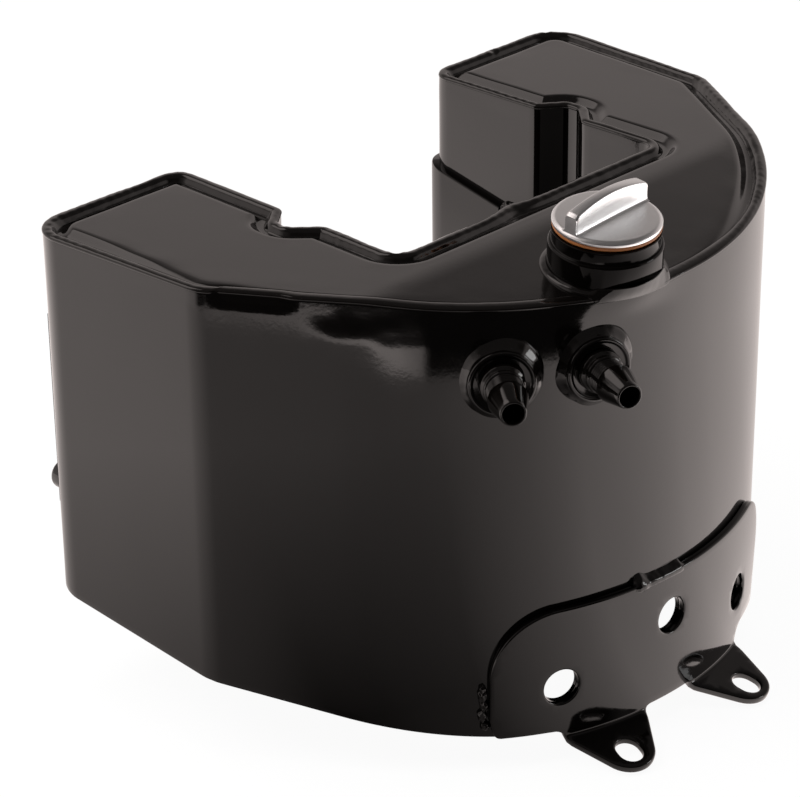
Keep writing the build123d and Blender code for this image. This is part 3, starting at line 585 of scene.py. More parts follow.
def gap(x, y, pl):
    a = pl
    b = np.roll(pl, -1, axis=0)
    ab = b - a
    t = np.clip(((x - a[:, 0]) * ab[:, 0] + (y - a[:, 1]) * ab[:, 1]) / np.maximum((ab ** 2).sum(1), 1e-9), 0, 1)
    return float(np.min(np.hypot(a[:, 0] + t * ab[:, 0] - x, a[:, 1] + t * ab[:, 1] - y)))


ys = sorted(set([round(v, 3) for v in np.arange(-62, 105, 5.0)] + [FOLD_Y + k for k in (-6, -5, -4, -3, -2, -1, 0, 1, 2, 3, 4, 5, 6)]))
extra = []
for y in ys:
    for x in np.arange(-135, 136, 5.0):
        if inside(x, y, poly) and gap(x, y, poly) > 1.8 and hypot(x - hole[0].x + 13, y - NY) > 15.0:
            extra.append(Vector((float(x), float(y))))
pts2 = edge + hole + extra
ne, nh = len(edge), len(hole)
cons = [(i, (i + 1) % ne) for i in range(ne)] + [(ne + i, ne + (i + 1) % nh) for i in range(nh)]
vo, _, fo, ov, _, _ = delaunay_2d_cdt(pts2, cons, [], 0, 1e-5)
vo_np = np.array([(v.x, v.y) for v in vo])
hole_np = np.array([(v.x, v.y) for v in hole])
vmap = {}
for i, v in enumerate(vo):
    src = [q for q in ov[i] if q < ne]
    if src:
        vmap[i] = rows[-1][src[0]]
    else:
        vmap[i] = len(verts)
        x, y = v.x, v.y
        dip = 0.35 * smooth(1 - gap(x, y, poly) / 14.0) * 0
        verts.append((x, y, lid(y) + 0.4 + 0.05 * noise.noise(Vector((x * 0.03, y * 0.03, 2.0))) - dip))
for f in fo:
    c = vo_np[list(f)].mean(axis=0)
    if inside(c[0], c[1], poly) and not inside(c[0], c[1], hole_np):
        faces.append(tuple(vmap[i] for i in f))
top = make("lid", verts, faces)
if sum(p.normal.z for p in top.data.polygons) < 0:
    top.data.flip_normals()
so = top.modifiers.new("thick", "SOLIDIFY")
so.thickness, so.offset = 0.0016, -1.0
piece(top, "tank", "top_plate", PAINT_LID)

# ------------------------------------------------------------------ seam weld round the lid
weldp = Plan(0.9, 0.6)
BEAD = [(1.7, -0.95), (-0.05, -1.0), (-0.24, -0.6), (-0.22, -0.15), (0.1, 0.22), (0.7, 0.5), (1.4, 0.64), (2.1, 0.66), (2.8, 0.52), (3.4, 0.1),
        (3.9, -0.6), (4.3, -1.35), (4.75, -2.0), (5.2, -2.3), (4.0, -2.6), (1.7, -2.6)]
FLUSH = [(1.7, -0.95), (-0.05, -1.0), (-0.22, -0.6), (-0.20, -0.2), (0.1, 0.12), (0.6, 0.32), (1.2, 0.44), (1.8, 0.50), (2.4, 0.52), (3.0, 0.50),
         (3.5, 0.44), (4.0, 0.34), (4.5, 0.1), (4.7, -0.3), (4.0, -1.6), (1.7, -1.6)]
CRATERS = [((-66.6, 109.6), 0.75), ((131.0, 110.0), 0.7), ((-66.4, 2.5), 0.7), ((68.5, 52.0), 0.5), ((-77.0, 47.0), 0.4), ((100.0, 110.0), 0.45)]
weld_q = [flange(x, y) for x, y in weldp.base]
verts = []
for k, (bp, fp) in enumerate(zip(BEAD, FLUSH)):
    rg1, rg0 = weldp.ring(bp[0]), weldp.ring(fp[0])
    body = 1.0 if 2 < k < 13 else 0.0
    for j in range(len(rg1)):
        q = weld_q[j]
        x, y = rg1[j] * q + rg0[j] * (1 - q)
        s, h = bp[0] * q + fp[0] * (1 - q), bp[1] * q + fp[1] * (1 - q)
        st, n = weldp.station[j], weldp.normal[j]
        o = rim_shift(x, y, max(s, 0))
        lump = noise.noise(Vector((st * 0.055, 0.3, 1.0)))
        fine_l = noise.noise(Vector((st * 0.21, s * 0.25, 5.0)))
        rough = smooth(0.5 + 1.3 * noise.noise(Vector((st * 0.013, 4.0, 0.0))))
        rip = sin(2 * pi * (st + 0.5 * (s - 2.2) ** 2 + 2.2 * lump) / 4.6)
        amp = (0.25 + 0.75 * q)
        dz = body * amp * (0.05 * rough * rip + 0.20 * lump + 0.07 * fine_l)
        ds = body * amp * (0.03 * rough * rip + 0.30 * lump + 0.06 * fine_l)
        for (cx_, cy_), deep in CRATERS:
            dd = (x - cx_) ** 2 + (y - cy_) ** 2
            if dd < 16 and body:
                dz -= deep * math.exp(-dd / 2.2) - 0.3 * deep * math.exp(-(sqrt(dd) - 2.4) ** 2 / 0.5)
        push = o + (min(ds, 0.03) if s < 1.2 else -ds)
        verts.append((x + n[0] * push, y + n[1] * push, lid(y) + h + dz))
bead = make("lid_seam", verts, grid_faces(len(BEAD), len(weldp.base)))
piece(bead, "tank", "top_weld", PAINT_WELD)

# ------------------------------------------------------------------ floor seam, thin
verts = []
SEAM = [(1.7, 0.2), (2.4, 0.35), (3.4, 0.75), (4.1, 1.2), (3.4, 1.5), (1.7, 1.5)]
low = Plan(1.6, 1.0)
for s, h in SEAM:
    rg = low.ring(s)
    for j, (x, y) in enumerate(rg):
        st = low.station[j]
        verts.append((x, y, floor_z(y) + h - (0.22 * abs(sin(pi * st / 4.3)) if 2 < s < 4 and h < 1 else 0)))
fs = []
ncl = len(low.base)
keep = [not (low.base[j][1] < -24 and -66 < low.base[j][0] < 58) for j in range(ncl)]
for i in range(len(SEAM)):
    a, b = i, (i + 1) % len(SEAM)
    for j in range(ncl):
        c = (j + 1) % ncl
        if keep[j] and keep[c]:
            fs.append((a * ncl + j, a * ncl + c, b * ncl + c, b * ncl + j))
for j in range(ncl):
    if keep[j] and not keep[(j + 1) % ncl]:
        fs.append(tuple(i * ncl + j for i in range(len(SEAM))))
    if keep[j] and not keep[j - 1]:
        fs.append(tuple(i * ncl + j for i in reversed(range(len(SEAM)))))
ob = make("floor_seam", verts, fs)
me = ob.data
bm = bmesh.new()
bm.from_mesh(me)
bmesh.ops.delete(bm, geom=[v for v in bm.verts if not v.link_faces], context="VERTS")
bm.to_mesh(me)
bm.free()
piece(ob, "tank", "bottom_weld", PAINT_WELD)

# ------------------------------------------------------------------ neck, seal, cap
neck_prof = rounded([(15.3, 4.0), (12.6, 4.0), (12.6, 2.0), (10.6, 2.0), (10.6, -1.5), (19.0, -1.5), (19.7, 0.0), (19.7, 10.9), (19.2, 11.6), (18.5, 11.75), (18.5, 15.6),
                     (18.9, 15.9), (18.9, 16.4), (15.3, 16.4)], 0.3)


def rim_reach(w):
    """Distance from the neck axis to the bulged rim in direction w, and the point there."""
    d = NECK.x * cos(w) + NECK.y * sin(w)
    d2 = unit(np.array((d.x, d.y)))
    lo, hi = 5.0, 60.0
    for _ in range(26):
        m = (lo + hi) / 2
        x, y = NX + d2[0] * m, NY + d2[1] * m
        if hypot(x, y - FRONT_CY) < FRONT_R + bulge(x, y) + 0.12:
            lo = m
        else:
            hi = m
    return lo, d2, (NX + d2[0] * lo, NY + d2[1] * lo)


REACH = {}
NSEG = 160
for j in range(NSEG):
    REACH[j] = rim_reach(2 * pi * j / NSEG)


def neck_warp(r, h, w, k):
    j = int(round(w / (2 * pi) * NSEG)) % NSEG
    rho = REACH[j][0]
    if h < 4.2 and r > 15 and rho < 21.5:
        f = smooth((21.5 - rho) / 1.5)
        line = rho + (19.7 - rho) * smooth((h + 1.8) / 6.0)
        r = r * (1 - f) + min(r, line - 0.5) * f
    return r, h


nk = lathe("neck", NECK, neck_prof, NSEG, neck_warp)
mark_sharp(nk, 60)
# the neck takes the shaded copy of the powder coat, painted shade
piece(nk, "tank", "filler_neck", PAINT_NECK_SHADED)

# weld round the neck: a bead on the lid behind, a band up from the rim in front
verts = []
NB = 13
for j in range(NSEG):
    w = 2 * pi * j / NSEG
    rho, d2, (ex, ey) = REACH[j]
    f = smooth((22.6 - rho) / 1.6)
    lum = noise.noise(Vector((cos(w) * 2.2, sin(w) * 2.2, 4.0)))
    fine_l = noise.noise(Vector((cos(w) * 7.0, sin(w) * 7.0, 1.0)))
    top_h = 2.9 + 0.25 * lum + 0.7 * f
    top = NECK.at(19.8 * cos(w), 19.8 * sin(w), top_h)
    foot_b = NECK.at((22.1 + 0.35 * lum) * cos(w), (22.1 + 0.35 * lum) * sin(w), 0.0)
    fb = Vector((foot_b.x, foot_b.y, lid(foot_b.y) + 0.32))
    ff = Vector((ex, ey, lid(ey) - 1.6))
    foot = fb * (1 - f) + ff * f
    nrm = Vector((d2[0], d2[1], 0.35 * (1 - f)))
    sec = []
    for k in range(NB):
        t = k / (NB - 1)
        p = top * (1 - t) + foot * t
        hump = sin(pi * t) * (0.55 * (1 - f) + 0.35 * f + 0.12 * lum + 0.10 * fine_l)
        sec.append(p + nrm * hump)
    inner_r = min(18.6, rho - 2.2)
    sec.append(NECK.at(inner_r * cos(w), inner_r * sin(w), -2.6))
    sec.append(NECK.at(min(18.6, rho - 1.0) * cos(w), min(18.6, rho - 1.0) * sin(w), 1.5))
    verts += [tuple(p) for p in sec]
nw = make("neck_bead", verts, grid_faces(NSEG, NB + 2))
piece(nw, "tank", "neck_weld", PAINT_WELD)

SEAL0 = 16.45


def seal_warp(r, h, w, k):
    # squeezed out a little further on one side
    return (r - 0.1 + 0.62 * cos(w - 0.6) if r > 17 else r), h


sl = lathe("seal_ring", NECK, rounded([(15.4, SEAL0), (18.2, SEAL0), (18.75, SEAL0 + 0.5), (18.75, SEAL0 + 1.3), (18.2, SEAL0 + 1.8), (15.4, SEAL0 + 1.8)], 0.6, 4), 112, seal_warp)
piece(sl, "seal", "cap_seal", RUBBER)

C0 = SEAL0 + 0.05 + 1.8
cap_prof = [(0.0, C0 + 2.1), (8.0, C0 + 2.1), (16.9, C0 + 2.1), (17.35, C0 + 2.08), (17.75, C0 + 1.95), (18.45, C0 + 1.45), (18.68, C0 + 1.2), (18.7, C0 + 1.0),
            (18.7, C0 + 0.5), (18.6, C0 + 0.2), (18.2, C0), (15.0, C0), (15.0, C0 - 11.6), (14.6, C0 - 12.0), (12.0, C0 - 12.0), (11.6, C0 - 11.6), (11.6, C0 - 0.4), (0.0, C0 - 0.4)]
disc = lathe("cap_disc", NECK, cap_prof, 128)
mark_sharp(disc, 40)
# arched handle, lofted along x
hv, nst = [], 37
PLAN_N = 0
for i in range(nst):
    u = i / (nst - 1)
    x = -18.0 + 36.2 * (0.5 - 0.5 * cos(pi * u)) if 0 < i < nst - 1 else (-18.0 if i == 0 else 18.2)
    e0, e1 = x + 18.0, 18.2 - x
    top_h = 6.6 + (9.4 - 6.6) * (1 - (x / 18.1) ** 2)
    soft = 0.55 * (smooth(1 - e0 / 1.2) + smooth(1 - e1 / 1.2))
    waist = 0.35 * (1 - (x / 18.1) ** 2)
    yc, hw = 0.675, 2.62 - waist - soft * 0.35
    th = top_h - soft
    prof = [(-hw - 1.5, -0.05), (-hw - 0.75, 0.12), (-hw - 0.28, 0.45), (-hw - 0.06, 1.0), (-hw, 1.9), (-hw + 0.05, th * 0.5), (-hw, th - 0.95), (-hw + 0.16, th - 0.42),
            (-hw + 0.45, th - 0.12), (-hw + 0.9, th), (0.0, th + 0.02)]
    full = prof + [(-a, b) for a, b in prof[-2::-1]]
    PLAN_N = len(full)
    lim = sqrt(max(18.65 ** 2 - x * x, 0.1))
    for a, b in full:
        yy = yc + a
        if b < 1.0:
            yy = max(min(yy, lim), -lim)
        hv.append(NECK.at(x, yy, C0 + 2.1 + b))
hf = grid_faces(nst, PLAN_N, False, False)
hf.append(tuple(range(PLAN_N))[::-1])
hf.append(tuple((nst - 1) * PLAN_N + k for k in range(PLAN_N)))
for i in range(nst - 1):
    hf.append((i * PLAN_N, (i + 1) * PLAN_N, (i + 1) * PLAN_N + PLAN_N - 1, i * PLAN_N + PLAN_N - 1))
handle = make("cap_handle", hv, hf)
mark_sharp(handle, 55)
capmats = [CHROME, POLISH, HANDLE_SIDE_SHADE]
for ob in (disc, handle):
    ob.data.materials.clear()
    for m in capmats:
        ob.data.materials.append(m)
for p in disc.data.polygons:
    c = p.center * 1000 - Vector((CX, CY, CZ))
    q = c - NECK.o
    h = q.dot(NECK.n)
    r = (q - NECK.n * h).length
    p.material_index = 1 if (r > 17.2 and h > C0 - 0.1) else 0
# the handle's side faces get the darker copy, painted shade; its top and ends are polished
for p in handle.data.polygons:
    p.material_index = 2 if abs(p.normal.dot(NECK.n)) < 0.35 else 1
bpy.ops.object.select_all(action="DESELECT")
disc.select_set(True)
handle.select_set(True)
bpy.context.view_layer.objects.active = disc
bpy.ops.object.join()
disc.name = "cap_with_handle"
piece(disc, "cap", "filler_cap", capmats)

# ------------------------------------------------------------------ hose bosses and spigots
SPIG = [(-33.2, -38.5, -29.2, "vent"), (-18.0, -23.0, -30.2, "return")]
weld_objs = []
for pos, ang, hz, nm in SPIG:
    t, a = radians(pos), radians(ang)
    ax = Axis3((FRONT_R * sin(t), FRONT_CY - FRONT_R * cos(t), hz), (cos(a), sin(a), 0), (sin(a), -cos(a), 0))
    bo = lathe(nm + "_boss_ring", ax, rounded([(5.2, -9.0), (9.4, -9.0), (9.4, 0.5), (11.3, 0.8), (11.8, 1.6), (11.8, 4.0), (11.45, 4.6), (10.9, 4.75), (10.4, 4.6), (9.8, 4.0), (5.2, 4.0)], 0.3), 112)
    mark_sharp(bo, 70)
    piece(bo, "tank", nm + "_boss", PAINT)
    pr = [(3.7, -12.0), (5.15, -12.0), (5.15, 4.05), (7.5, 4.05), (7.72, 4.4), (7.72, 6.0), (7.4, 6.55), (6.7, 6.8), (6.55, 7.3), (6.75, 7.7), (7.0, 8.0), (7.05, 8.6), (6.8, 9.1), (6.35, 9.3)]
    for k in range(5):
        z0 = 9.45 + k * 1.16
        pr += [(6.38, z0), (6.4, z0 + 0.45), (6.12, z0 + 0.62), (6.1, z0 + 0.85), (6.36, z0 + 1.0)]
    pr += [(6.4, 15.3), (6.75, 15.45), (6.9, 15.8), (6.85, 16.3), (6.3, 18.6), (5.6, 21.6), (4.95, 24.4), (4.6, 25.9), (4.4, 26.4), (4.15, 26.6), (3.85, 26.55), (3.7, 26.3)]
    sp = lathe(nm + "_hose_end", ax, pr, 96)
    mark_sharp(sp, 75)
    piece(sp, "tank", nm + "_spigot", PAINT)
    seed = 3.0 if nm == "vent" else 11.0

    def boss_warp(r, h, w, k, seed=seed):
        if r < 11.0:
            return r, h
        lum = noise.noise(Vector((cos(w) * 1.6 + seed, sin(w) * 1.6, h * 0.15)))
        fine_l = noise.noise(Vector((cos(w) * 6.0 + seed, sin(w) * 6.0, h * 0.3)))
        k2 = smooth((15.2 - r) / 1.5)
        return r + 0.55 * lum + 0.10 * fine_l * k2, h + (0.18 * lum + 0.09 * fine_l) * k2
    bw = lathe(nm + "_bead", ax, [(9.6, 2.15), (9.6, -4.2), (15.6, -4.2), (15.4, -2.4), (15.2, -1.2), (14.9, -0.4), (14.5, 0.25), (14.0, 0.8), (13.5, 1.3), (13.0, 1.8), (12.5, 2.35), (12.1, 2.9), (11.8, 3.3), (11.5, 3.4), (11.0, 2.4)], 144, boss_warp)
    weld_objs.append(bw)
bpy.ops.object.select_all(action="DESELECT")
for o in weld_objs:
    o.select_set(True)
bpy.context.view_layer.objects.active = weld_objs[0]
bpy.ops.object.join()
weld_objs[0].name = "boss_beads"
piece(weld_objs[0], "tank", "boss_welds", PAINT_WELD)

# ------------------------------------------------------------------ front bracket, folded from one flat outline
RB, BT = 1.2, 3.0
TS = radians(14.85)
V0 = -172.5 - RB * tan(TS) + RB / cos(TS)
BEND_A = pi / 2 - TS
LB = RB * BEND_A
FOOT = RB * (1 - sin(TS))
TAB_TH = [asin((-5.15 + s * 31.75) / (R2 + 13.2)) for s in (-1, 1)]
TAB_A = [R2 * t for t in TAB_TH]


def plate_a(x):
    return R2 * asin(x / R2)


def fold(a, v, w):
    """Place of the flat sheet's point (a along, v up, w behind the front face) on the formed bracket."""
    l = V0 - v
    th = a / R2
    if l <= 0:
        r, z = R2 - w, v
        return (r * sin(th), FRONT_CY - r * cos(th), z)
    c = 0 if abs(a - TAB_A[0]) < abs(a - TAB_A[1]) else 1
    tc, t = TAB_TH[c], a - TAB_A[c]
    if l < LB:
        b = l / RB
        u, z = RB - (RB + w) * cos(b), V0 - (RB + w) * sin(b)
    else:
        m = l - LB
        u = FOOT + m * cos(TS) - w * sin(TS)
        z = V0 - (RB) * sin(BEND_A) - m * sin(TS) - w * cos(TS)
    r = R2 + u
    k = smooth(l / (LB + 3.0))
    P = np.array((r * sin(th), FRONT_CY - r * cos(th)))
    n, tt = np.array((sin(tc), -cos(tc))), np.array((cos(tc), sin(tc)))
    Q = np.array((0, FRONT_CY)) + n * r + tt * t
    M = P * (1 - k) + Q * k
    return (M[0], M[1], z)


def fillet_poly(pts, seg=7):
    out, n = [], len(pts)
    for i in range(n):
        p = np.array(pts[i][:2], float)
        r = pts[i][2]
        if r <= 0:
            out.append(p)
            continue
        u = unit(p - np.array(pts[i - 1][:2], float))
        v = unit(np.array(pts[(i + 1) % n][:2], float) - p)
        ang = atan2(u[0] * v[1] - u[1] * v[0], u @ v)
        t = r * tan(abs(ang) / 2)
        a = p - u * t
        c = a + np.array((-u[1], u[0])) * r * (1 if ang > 0 else -1)
        m = max(3, int(abs(ang) * r / 0.9))
        for j in range(m + 1):
            w = ang * j / m
            q = a - c
            out.append(c + np.array((q[0] * cos(w) - q[1] * sin(w), q[0] * sin(w) + q[1] * cos(w))))
    return out


def densify(pts, step):
    out, n = [], len(pts)
    for i in range(n):
        a, b = pts[i], pts[(i + 1) % n]
        m = max(1, int(np.ceil(np.hypot(*(b - a)) / step)))
        for j in range(m):
            out.append(a + (b - a) * j / m)
    return np.array(out)


TIP_L, TIP_R, TAP = LB + (11.5 - FOOT) / cos(TS), 10.4, radians(24.9)
side_x, side_l = TIP_R * cos(TAP), TIP_L + TIP_R * sin(TAP)


def tab_side(l):
    return side_x + (side_l - l) * tan(TAP)


def tip_arc(ac):
    """Points round the tip from left to right, counter-clockwise seen from the front."""
    out = []
    for k in range(17):
        w = -pi + TAP + (pi - 2 * TAP) * k / 16
        out.append((ac + TIP_R * cos(w), V0 - TIP_L + TIP_R * sin(w), 0))
    return out


aL, aR = TAB_A
lv = -169.9
outline = [(plate_a(-75), -120.5, 25.5), (plate_a(-75), -161.0, 0.0), (plate_a(-73.4), -168.6, 3.0), (aL - tab_side(V0 - lv) - 0.8, lv, 6.0)]
outline += tip_arc(aL)
outline += [(aL + tab_side(0.1), V0 + 0.1, 4.0), (aR - tab_side(0.1), V0 + 0.1, 3.5)]
outline += tip_arc(aR)
outline += [(aR + tab_side(-5.0) + 0.3, V0 + 5.0, 7.0), (plate_a(60.8), -166.4, 3.0), (plate_a(67.5), -141.0, 0.0), (plate_a(67.5), -120.5, 19.0)]
shape = densify(fillet_poly(outline), 1.6)


def inset(pl, d):
    """Moves a counter-clockwise outline inwards by d."""
    nx = np.roll(pl, -1, axis=0)
    pv = np.roll(pl, 1, axis=0)
    e1 = pl - pv
    e2 = nx - pl
    e1 = e1 / np.maximum(np.hypot(e1[:, 0], e1[:, 1]), 1e-9)[:, None]
    e2 = e2 / np.maximum(np.hypot(e2[:, 0], e2[:, 1]), 1e-9)[:, None]
    n = np.column_stack([-(e1 + e2)[:, 1], (e1 + e2)[:, 0]])
    n = n / np.maximum(np.hypot(n[:, 0], n[:, 1]), 1e-9)[:, None]
    return pl + n * d


area = 0.5 * np.sum(shape[:, 0] * np.roll(shape[:, 1], -1) - np.roll(shape[:, 0], -1) * shape[:, 1])
if area < 0:
    shape = shape[::-1]
loops = [shape]
for hx, hz in HOLES:
    loops.append(np.array([(plate_a(hx) + HOLE_R * cos(-k * pi / 28), hz + HOLE_R * sin(-k * pi / 28)) for k in range(56)]))
SLW, SLL = 9.2, 10.8
for ac in TAB_A:
    c = V0 - (LB + (13.2 - FOOT) / cos(TS))
    hh = (SLL - SLW) / 2
    lp = [(ac + SLW / 2 * cos(w), c + hh + SLW / 2 * sin(w)) for w in np.linspace(0, pi, 20)]
    lp += [(ac + SLW / 2 * cos(w), c - hh + SLW / 2 * sin(w)) for w in np.linspace(pi, 2 * pi, 20)]
    loops.append(np.array(lp[::-1]))
STEPS = [(0.85, 0.0), (0.42, 0.1), (0.12, 0.38), (0.0, 0.85), (0.0, BT - 0.85), (0.12, BT - 0.38), (0.42, BT - 0.1), (0.85, BT)]
bverts, bfaces = [], []
front_ids, back_ids = [], []
for lp in loops:
    n = len(lp)
    ids = []
    for d, w in STEPS:
        q = inset(lp, d)
        ids.append([len(bverts) + j for j in range(n)])
        bverts += [fold(p[0], p[1], w) for p in q]
    for a, b in zip(ids[:-1], ids[1:]):
        for j in range(n):
            k = (j + 1) % n
            bfaces.append((a[j], a[k], b[k], b[j]))
    front_ids.append(ids[0])
    back_ids.append(ids[-1])
rims = [inset(lp, 0.85) for lp in loops]
flat = [Vector((p[0], p[1])) for rm in rims for p in rm]
cons, o = [], 0
for rm in rims:
    n = len(rm)
    cons += [(o + j, o + (j + 1) % n) for j in range(n)]
    o += n
nf = len(flat)
extra = []
for v in list(np.arange(-168.0, -120.0, 3.0)) + [V0 + 0.6, V0, V0 - 0.3, V0 - 0.6, V0 - 0.9, V0 - 1.2, V0 - LB, V0 - LB - 0.8] + list(np.arange(V0 - LB - 3, -200, -3.0)):
    for a in np.arange(-78, 74, 2.6):
        if inside(a, v, rims[0]) and gap(a, v, rims[0]) > 0.7 and all((not inside(a, v, r)) and gap(a, v, r) > 0.7 for r in rims[1:]):
            extra.append(Vector((float(a), float(v))))
vo, _, fo, ov, _, _ = delaunay_2d_cdt(flat + extra, cons, [], 0, 1e-5)
fid = [i for ids in front_ids for i in ids]
bid = [i for ids in back_ids for i in ids]
mf, mb = {}, {}
for i, v in enumerate(vo):
    src = [q for q in ov[i] if q < nf]
    if src:
        mf[i], mb[i] = fid[src[0]], bid[src[0]]
    else:
        mf[i] = len(bverts)
        bverts.append(fold(v.x, v.y, 0.0))
        mb[i] = len(bverts)
        bverts.append(fold(v.x, v.y, BT))
vn = np.array([(v.x, v.y) for v in vo])
for f in fo:
    c = vn[list(f)].mean(axis=0)
    if inside(c[0], c[1], rims[0]) and not any(inside(c[0], c[1], r) for r in rims[1:]):
        bfaces.append(tuple(mf[i] for i in f))
        bfaces.append(tuple(mb[i] for i in f)[::-1])
bracket = make("bracket", bverts, bfaces)
mark_sharp(bracket, 60)
piece(bracket, "tank", "front_bracket", PAINT)

# welds of the bracket: a run on the upper edge and lumps on the two ends
bv, bf = [], []
NS = 46
CS = [(-1.2, -1.0), (-0.5, 2.6), (0.1, 2.35), (0.6, 1.9), (1.1, 1.45), (1.6, 1.05), (2.1, 0.7), (2.6, 0.3), (3.0, -0.2), (3.15, -0.9), (3.12, -1.7), (2.7, -2.6), (0.0, -3.0)]
for i in range(NS):
    u = i / (NS - 1)
    x = -22.5 + 25.0 * u
    th = asin(x / FRONT_R)
    fat = 0.85 + 0.75 * math.exp(-((u - 0.13) / 0.12) ** 2) + 0.16 * noise.noise(Vector((u * 6, 0.5, 0)))
    fat *= smooth(u / 0.07) * smooth((1 - u) / 0.10) * 0.92 + 0.08
    for c, h in CS:
        lum = (0.12 + 0.28 * math.exp(-((u - 0.13) / 0.14) ** 2)) * noise.noise(Vector((u * 13, c * 0.5, 3.0)))
        rr = FRONT_R + (c if c < 0 else c * (0.93 + 0.07 * min(fat, 1.0)) + 0.9 * max(fat - 0.95, 0) * smooth(c / 2)) + (lum if c > 0 else 0)
        zz = -120.6 + (h * fat if h > 0 else h) + (lum * 0.7 if c > 0 else 0)
        bv.append((rr * sin(th), FRONT_CY - rr * cos(th), zz))
nc = len(CS)
bf = grid_faces(NS, nc, False, True)
bf += [tuple(range(nc))[::-1], tuple((NS - 1) * nc + k for k in range(nc))]
lumps = [make("edge_run", bv, bf)]
for k, (x, z, sz, side) in enumerate(((-75.4, -150.6, 3.0, -1), (-75.0, -155.4, 2.1, -1), (-75.5, -159.2, 2.3, -1), (-74.7, -163.6, 1.5, -1), (68.3, -139.5, 2.0, 1), (68.0, -134.8, 1.8, 1))):
    bm = bmesh.new()
    bmesh.ops.create_icosphere(bm, subdivisions=4, radius=1.0)
    th = asin(x / (FRONT_R + 0.8))
    ax = Axis3(((FRONT_R + 0.5) * sin(th), FRONT_CY - (FRONT_R + 0.5) * cos(th), z), (cos(th), sin(th), 0), (sin(th), -cos(th), 0))
    for v in bm.verts:
        p = v.co.copy()
        s = 1.0 + 0.28 * noise.noise(p * 1.7 + Vector((k * 3.3, 0, 0)))
        v.co = world(ax.at(p.x * 1.7 * s, p.y * sz * 1.15 * s, p.z * 1.75 * s))
    for f in bm.faces:
        f.smooth = True
    me = bpy.data.meshes.new("lump")
    bm.to_mesh(me)
    bm.free()
    lo = bpy.data.objects.new("lump", me)
    bpy.context.scene.collection.objects.link(lo)
    lumps.append(lo)
bpy.ops.object.select_all(action="DESELECT")
for o in lumps:
    o.select_set(True)
bpy.context.view_layer.objects.active = lumps[0]
bpy.ops.object.join()
lumps[0].name = "bracket_beads"
piece(lumps[0], "tank", "bracket_welds", PAINT_WELD)

# ------------------------------------------------------------------ straps round the rear corners
strapp = Plan(2.5, 0.7)


def strap(name, sgn, node):
    b = strapp.base
    idx = [j for j in range(len(b)) if sgn * b[j][0] > 60 and ((b[j][1] > 72.9) and sgn * b[j][0] < 129.2) and not (b[j][1] < END_Y - 1 and sgn * b[j][0] > 80)]
    if sgn > 0:
        idx = sorted(idx, key=lambda j: (j - strapp.seams[17]) % len(b))
    else:
        idx = sorted(idx)
    prof = [(0.02, "lo", 0.0), (0.02, "hi", 0.0), (-2.3, "hi", 0.0), (-2.8, "hi", 0.22), (-3.0, "hi", 0.75), (-3.0, "lo", 0.75), (-2.8, "lo", 0.22), (-2.3, "lo", 0.0)]
    rows = []
    for d, e, c in prof:
        rg = strapp.ring(d)
        rows.append([])
        for j in idx:
            x, y = rg[j]
            yy = min(b[j][1], 110.0)
            hi, lo = -44.6 + (yy - 73.0) * 8.5 / 37.0, -103.5 - (yy - 73.0) * 8.5 / 37.0
            rows[-1].append((x, y, hi - c if e == "hi" else lo + c))
    vs = [p for r in rows for p in r]
    n = len(idx)
    fs = grid_faces(len(prof), n, True, False)
    fs.append(tuple(i * n for i in range(len(prof))))
    fs.append(tuple(i * n + n - 1 for i in reversed(range(len(prof)))))
    ob = make(name, vs, fs)
    mark_sharp(ob, 45)
    return piece(ob, "tank", node, PAINT)


strap("strap_near", -1, "strap_left")
strap("strap_far", 1, "strap_right")
blobs = []
for sgn in (-1, 1):
    bm = bmesh.new()
    bmesh.ops.create_icosphere(bm, subdivisions=4, radius=1.0)
    for v in bm.verts:
        p = v.co.copy()
        s = 1.0 + 0.25 * noise.noise(p * 1.9 + Vector((sgn * 4.0, 2, 0)))
        v.co = world((sgn * (xin(71.4) + 0.4) - sgn * 0.6 + p.x * 2.6 * s, 71.2 + p.y * 3.1 * s, -45.4 + p.z * 3.0 * s))
    for f in bm.faces:
        f.smooth = True
    me = bpy.data.meshes.new("blob")
    bm.to_mesh(me)
    bm.free()
    o = bpy.data.objects.new("blob", me)
    bpy.context.scene.collection.objects.link(o)
    blobs.append(o)
bpy.ops.object.select_all(action="DESELECT")
for o in blobs:
    o.select_set(True)
bpy.context.view_layer.objects.active = blobs[0]
bpy.ops.object.join()
blobs[0].name = "strap_beads"
piece(blobs[0], "tank", "strap_welds", PAINT_WELD)

for sgn, nm in ((-1, "left"), (1, "right")):
    ax = Axis3((sgn * 121.5, END_Y + 3.0, -104.8), (1, 0, 0), (0, 1, 0))
    rb = lathe("rear_nut_" + nm, ax, [(2.6, 0.0), (5.5, 0.0), (5.5, 4.3), (5.3, 5.0), (4.8, 5.6), (4.2, 5.9), (3.5, 6.0), (3.0, 5.95), (2.6, 5.6)], 64)
    mark_sharp(rb, 50)
    piece(rb, "tank", "rear_boss_" + nm, PAINT)

# ------------------------------------------------------------------ nodes that keep their own mesh
KEEP = {
    "bottom_plate": PAINT, "recess_box": PAINT, "dipstick": ZINC, "vent_tube": STEEL, "return_tube": STEEL,
    "feed_bung": PAINT, "feed_spigot": BRASS, "feed_strainer": BRASS, "drain_bung": PAINT, "drain_washer": ALU,
    "drain_plug": ZINC, "baffle_left": STEEL, "baffle_right": STEEL,
}
for nm, m in KEEP.items():
    ob = nodes[nm]
    ob.data.materials.clear()
    ob.data.materials.append(m)

